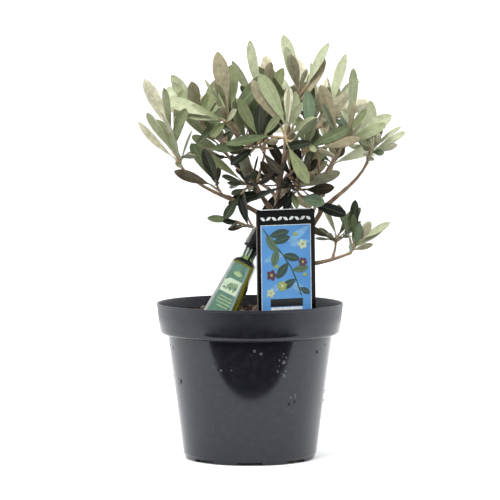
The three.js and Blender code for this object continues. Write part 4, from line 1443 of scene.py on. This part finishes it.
def make_bottle():
    whole = bottle_frame()
    shoulder = BOTTLE_BODY + BOTTLE_SHOULDER
    neck_top = shoulder + NECK_LENGTH
    slim = BOTTLE_SHOULDER_SIDE
    rows = [
        (BOTTLE_SIDE - 3, 0, 2), (BOTTLE_SIDE - 1, 0.3, 3), (BOTTLE_SIDE, 1.6, 3),
        (blend(BOTTLE_SIDE, slim, 0.5), BOTTLE_BODY / 2, 3), (slim, BOTTLE_BODY, 3),
        (slim - 0.8, BOTTLE_BODY + 1.4, 3.4), (slim - 2.6, BOTTLE_BODY + 3, 4),
        (slim - 5.2, BOTTLE_BODY + 4.4, 5), (2 * NECK_RADIUS + 1.4, shoulder - 0.8, NECK_RADIUS + 0.6),
    ]
    neck = [(NECK_RADIUS, shoulder + 0.4), (NECK_RADIUS, shoulder + 2.6), (NECK_RADIUS, neck_top - 3),
            (THREAD_RADIUS, neck_top - 2.6), (THREAD_RADIUS, neck_top - 1.4),
            (NECK_RADIUS, neck_top - 1), (NECK_RADIUS, neck_top)]
    rows += [(2 * radius, height, radius - 0.01) for radius, height in neck]
    faces = skin(len(rows), BOTTLE_STRIPS)
    glass = Heap()
    rings = [whole @ point for row in rows for point in square_ring(*row)]
    glass.add(rings, faces, [glass_slot(face) for face in faces])
    looks = [rippled(*row, height, 0.4, IOR=ior, Transmission_Weight=clear)
             for *row, height, ior, clear in GLASS_LOOKS]
    make_piece("bottle_glass", glass, looks, 50, "bottle", "bottle")
    make_label(whole)
    make_cap(whole, neck_top)


def label_place(whole):
    """Places on the bottle's front, or past it round the corner"""
    def place(across, up, out):
        flat, reach = label_half(up), BOTTLE_CORNER + out
        turn = max(0, abs(across) - flat) / BOTTLE_CORNER
        side = math.copysign(min(abs(across), flat) + reach * sin(turn), across)
        return whole @ Vector((side, -flat - reach * cos(turn), up))

    return place


def label_half(up):
    return blend(BOTTLE_SIDE, BOTTLE_SHOULDER_SIDE, up / BOTTLE_BODY) / 2 - BOTTLE_CORNER


def make_label(whole):
    label = Heap()
    lay = layers(label, -0.1, 0.1, 0.006, label_place(whole), [row[0] for row in LABEL_INKS])
    low, high = LABEL_ENDS
    wide, slim = label_half(low), label_half(high)
    lay([(-wide, low), (wide - 1, low), (slim - 0.4, high), (-slim, high)], "green")
    lay([(wide - 2.6, low), (wide - 1, low), (slim - 0.4, high), (slim - 1.7, high)], "edge")
    for i in range(LABEL_SIDE_STRIPS):
        near, far = LABEL_SIDE_STEP * i, LABEL_SIDE_STEP * (i + 1)
        lay([(-wide - far, low), (-wide - near, low), (-slim - near, high), (-slim - far, high)], "side")
    lay(oblong(*LABEL_PICTURE), "mint")
    for i in range(3):
        lay(petal((-5 + 4 * i, 36), 62 + 12 * i, 9.5, 3.6, 0.7), "sage")
        lay(disc((-6.4 + 5.2 * i, 38 + i), 1.1), "slate")
    for i, half in enumerate(LABEL_LINES):
        lay(oblong(-half, 29.4 - 3 * i, half - 0.6, 30.3 - 3 * i), "lime")
    for i in range(5):
        lay(petal((0, 51.4), 30 + 30 * i, 5.2, 1.9, 0.8), "lime")
    looks = [mottled(f"label_{name}", *row, 0.02) for name, *row in LABEL_INKS]
    make_piece("bottle_label", label, looks, 30, "bottle")


def cap_highlight_slot(face):
    """Black, but for the pale and the grey painted highlight on one side of the seal"""
    row, column = divmod(face[0], CAP_SIDES)
    turn = 360 * column / CAP_SIDES
    if len(face) > 4 or row <= 2:
        return 0
    return 1 if CAP_HIGHLIGHT_PALE[0] <= turn < CAP_HIGHLIGHT_PALE[1] else 2 if CAP_HIGHLIGHT_GREY[0] <= turn < CAP_HIGHLIGHT_GREY[1] else 0


def make_cap(whole, neck_top):
    """A screw cap, by rows: the share of its radius there, the height, and whether it is ribbed"""
    foot = neck_top - CAP_OVERLAP
    top = neck_top + GAP + CAP_LENGTH
    rows = [(0.9, foot, 0), (0.98, foot + 0.4, 0), (0.98, foot + 2.6, 0), (0.93, foot + 2.9, 0),
            (0.93, foot + 3.3, 0), (1, foot + 3.7, 1), (1, top - 2.4, 1),
            (0.97, top - 1.2, 0), (0.9, top - 0.4, 0), (0.8, top, 0)]
    points = []
    for share, height, ribbed in rows:
        wide = share * blend(CAP_RADIUS, CAP_TOP_RADIUS, (height - foot) / (top - foot))
        for j, (c, s) in enumerate(spokes(CAP_SIDES)):
            radius = wide - CAP_RIB * ribbed * (j % 2)
            points.append(whole @ Vector((radius * c, radius * s, height)))
    faces = skin(len(rows), CAP_SIDES)
    cap = Heap()
    cap.add(points, faces, [cap_highlight_slot(face) for face in faces])
    looks = [mottled(*row) for row in CAP_LOOKS]
    make_piece("bottle_cap_ribbed", cap, looks, 25, "cap", "bottle_cap")


# Stage, light and camera


def make_quad(name, corners, look):
    heap = Heap()
    heap.add(corners, [(0, 1, 2, 3)])
    quad = make_object(name, heap, [look])
    return quad


def make_stage():
    far = FLOOR_REACH
    look = rippled("floor", (246, 246, 246), 0.9, (30, 2), 0.02)
    ground = make_quad("floor", [(-far, -far, 0), (far, -far, 0), (far, far, 0), (-far, far, 0)], look)
    ground.visible_diffuse = False
    corners = [(-FLAG_WIDE, -FLAG_NEAR_LEFT, 1), (-FLAG_WIDE, -FLAG_DEEP, 1),
               (FLAG_WIDE, -FLAG_DEEP, 1), (FLAG_WIDE, -FLAG_NEAR_RIGHT, 1)]
    flag = make_quad("dark_flag", corners, Look("flag", (14, 14, 16), 0.9).material)
    set_up(flag, visible_camera=False, visible_diffuse=False, visible_shadow=False,
           visible_transmission=False)


def make_light():
    """A bright backdrop behind, dimmer in front and below, with a soft key light from above"""
    world = bpy.data.worlds.new("studio")
    world.use_nodes = True
    tree = world.node_tree
    sky = tree.nodes["Background"].inputs
    across = gradient(tree, "Generated", "Y", -1, 1, *WORLD_FRONT_BACK)
    upward = gradient(tree, "Generated", "Z", -0.3, 0, *WORLD_BELOW)
    plug(tree, sky["Color"], WORLD_COLOUR)
    both = add_node(tree, "Math", "Value", [(0, across), (1, upward)], operation="MULTIPLY")
    plug(tree, sky["Strength"], both)
    bpy.context.scene.world = world
    for name, place, size, power in LAMPS:
        lamp = bpy.data.lights.new(name, "AREA")
        light = add_to_scene(name, set_up(lamp, energy=power, shape="DISK", size=size * MM))
        light.location = Vector(place) * MM
        aim = Vector((0, 0, LAMP_AIM)) * MM - light.location
        light.rotation_euler = aim.to_track_quat("-Z", "Y").to_euler()
        light.visible_glossy = False


def make_camera():
    data = bpy.data.cameras.new("camera")
    set_up(data, sensor_width=SENSOR, lens=CAMERA_LENS, clip_start=0.1, clip_end=30)
    camera = add_to_scene("camera", data)
    camera.location = (0, -CAMERA_DISTANCE * MM, CAMERA_HEIGHT * MM)
    camera.rotation_euler = (radians(90 - CAMERA_PITCH), 0, 0)
    bpy.context.scene.camera = camera


def main():
    bpy.context.scene.view_settings.view_transform = "Standard"
    make_stage()
    make_light()
    make_camera()
    make_pot()
    make_drops()
    make_soil()
    limbs = lay_out_limbs()
    make_limbs(limbs)
    crown = Crown(limbs)
    crown.grow()
    crown.grow_heart()
    crown.grow_finer()
    make_foliage(crown)
    make_card()
    make_bottle()


main()
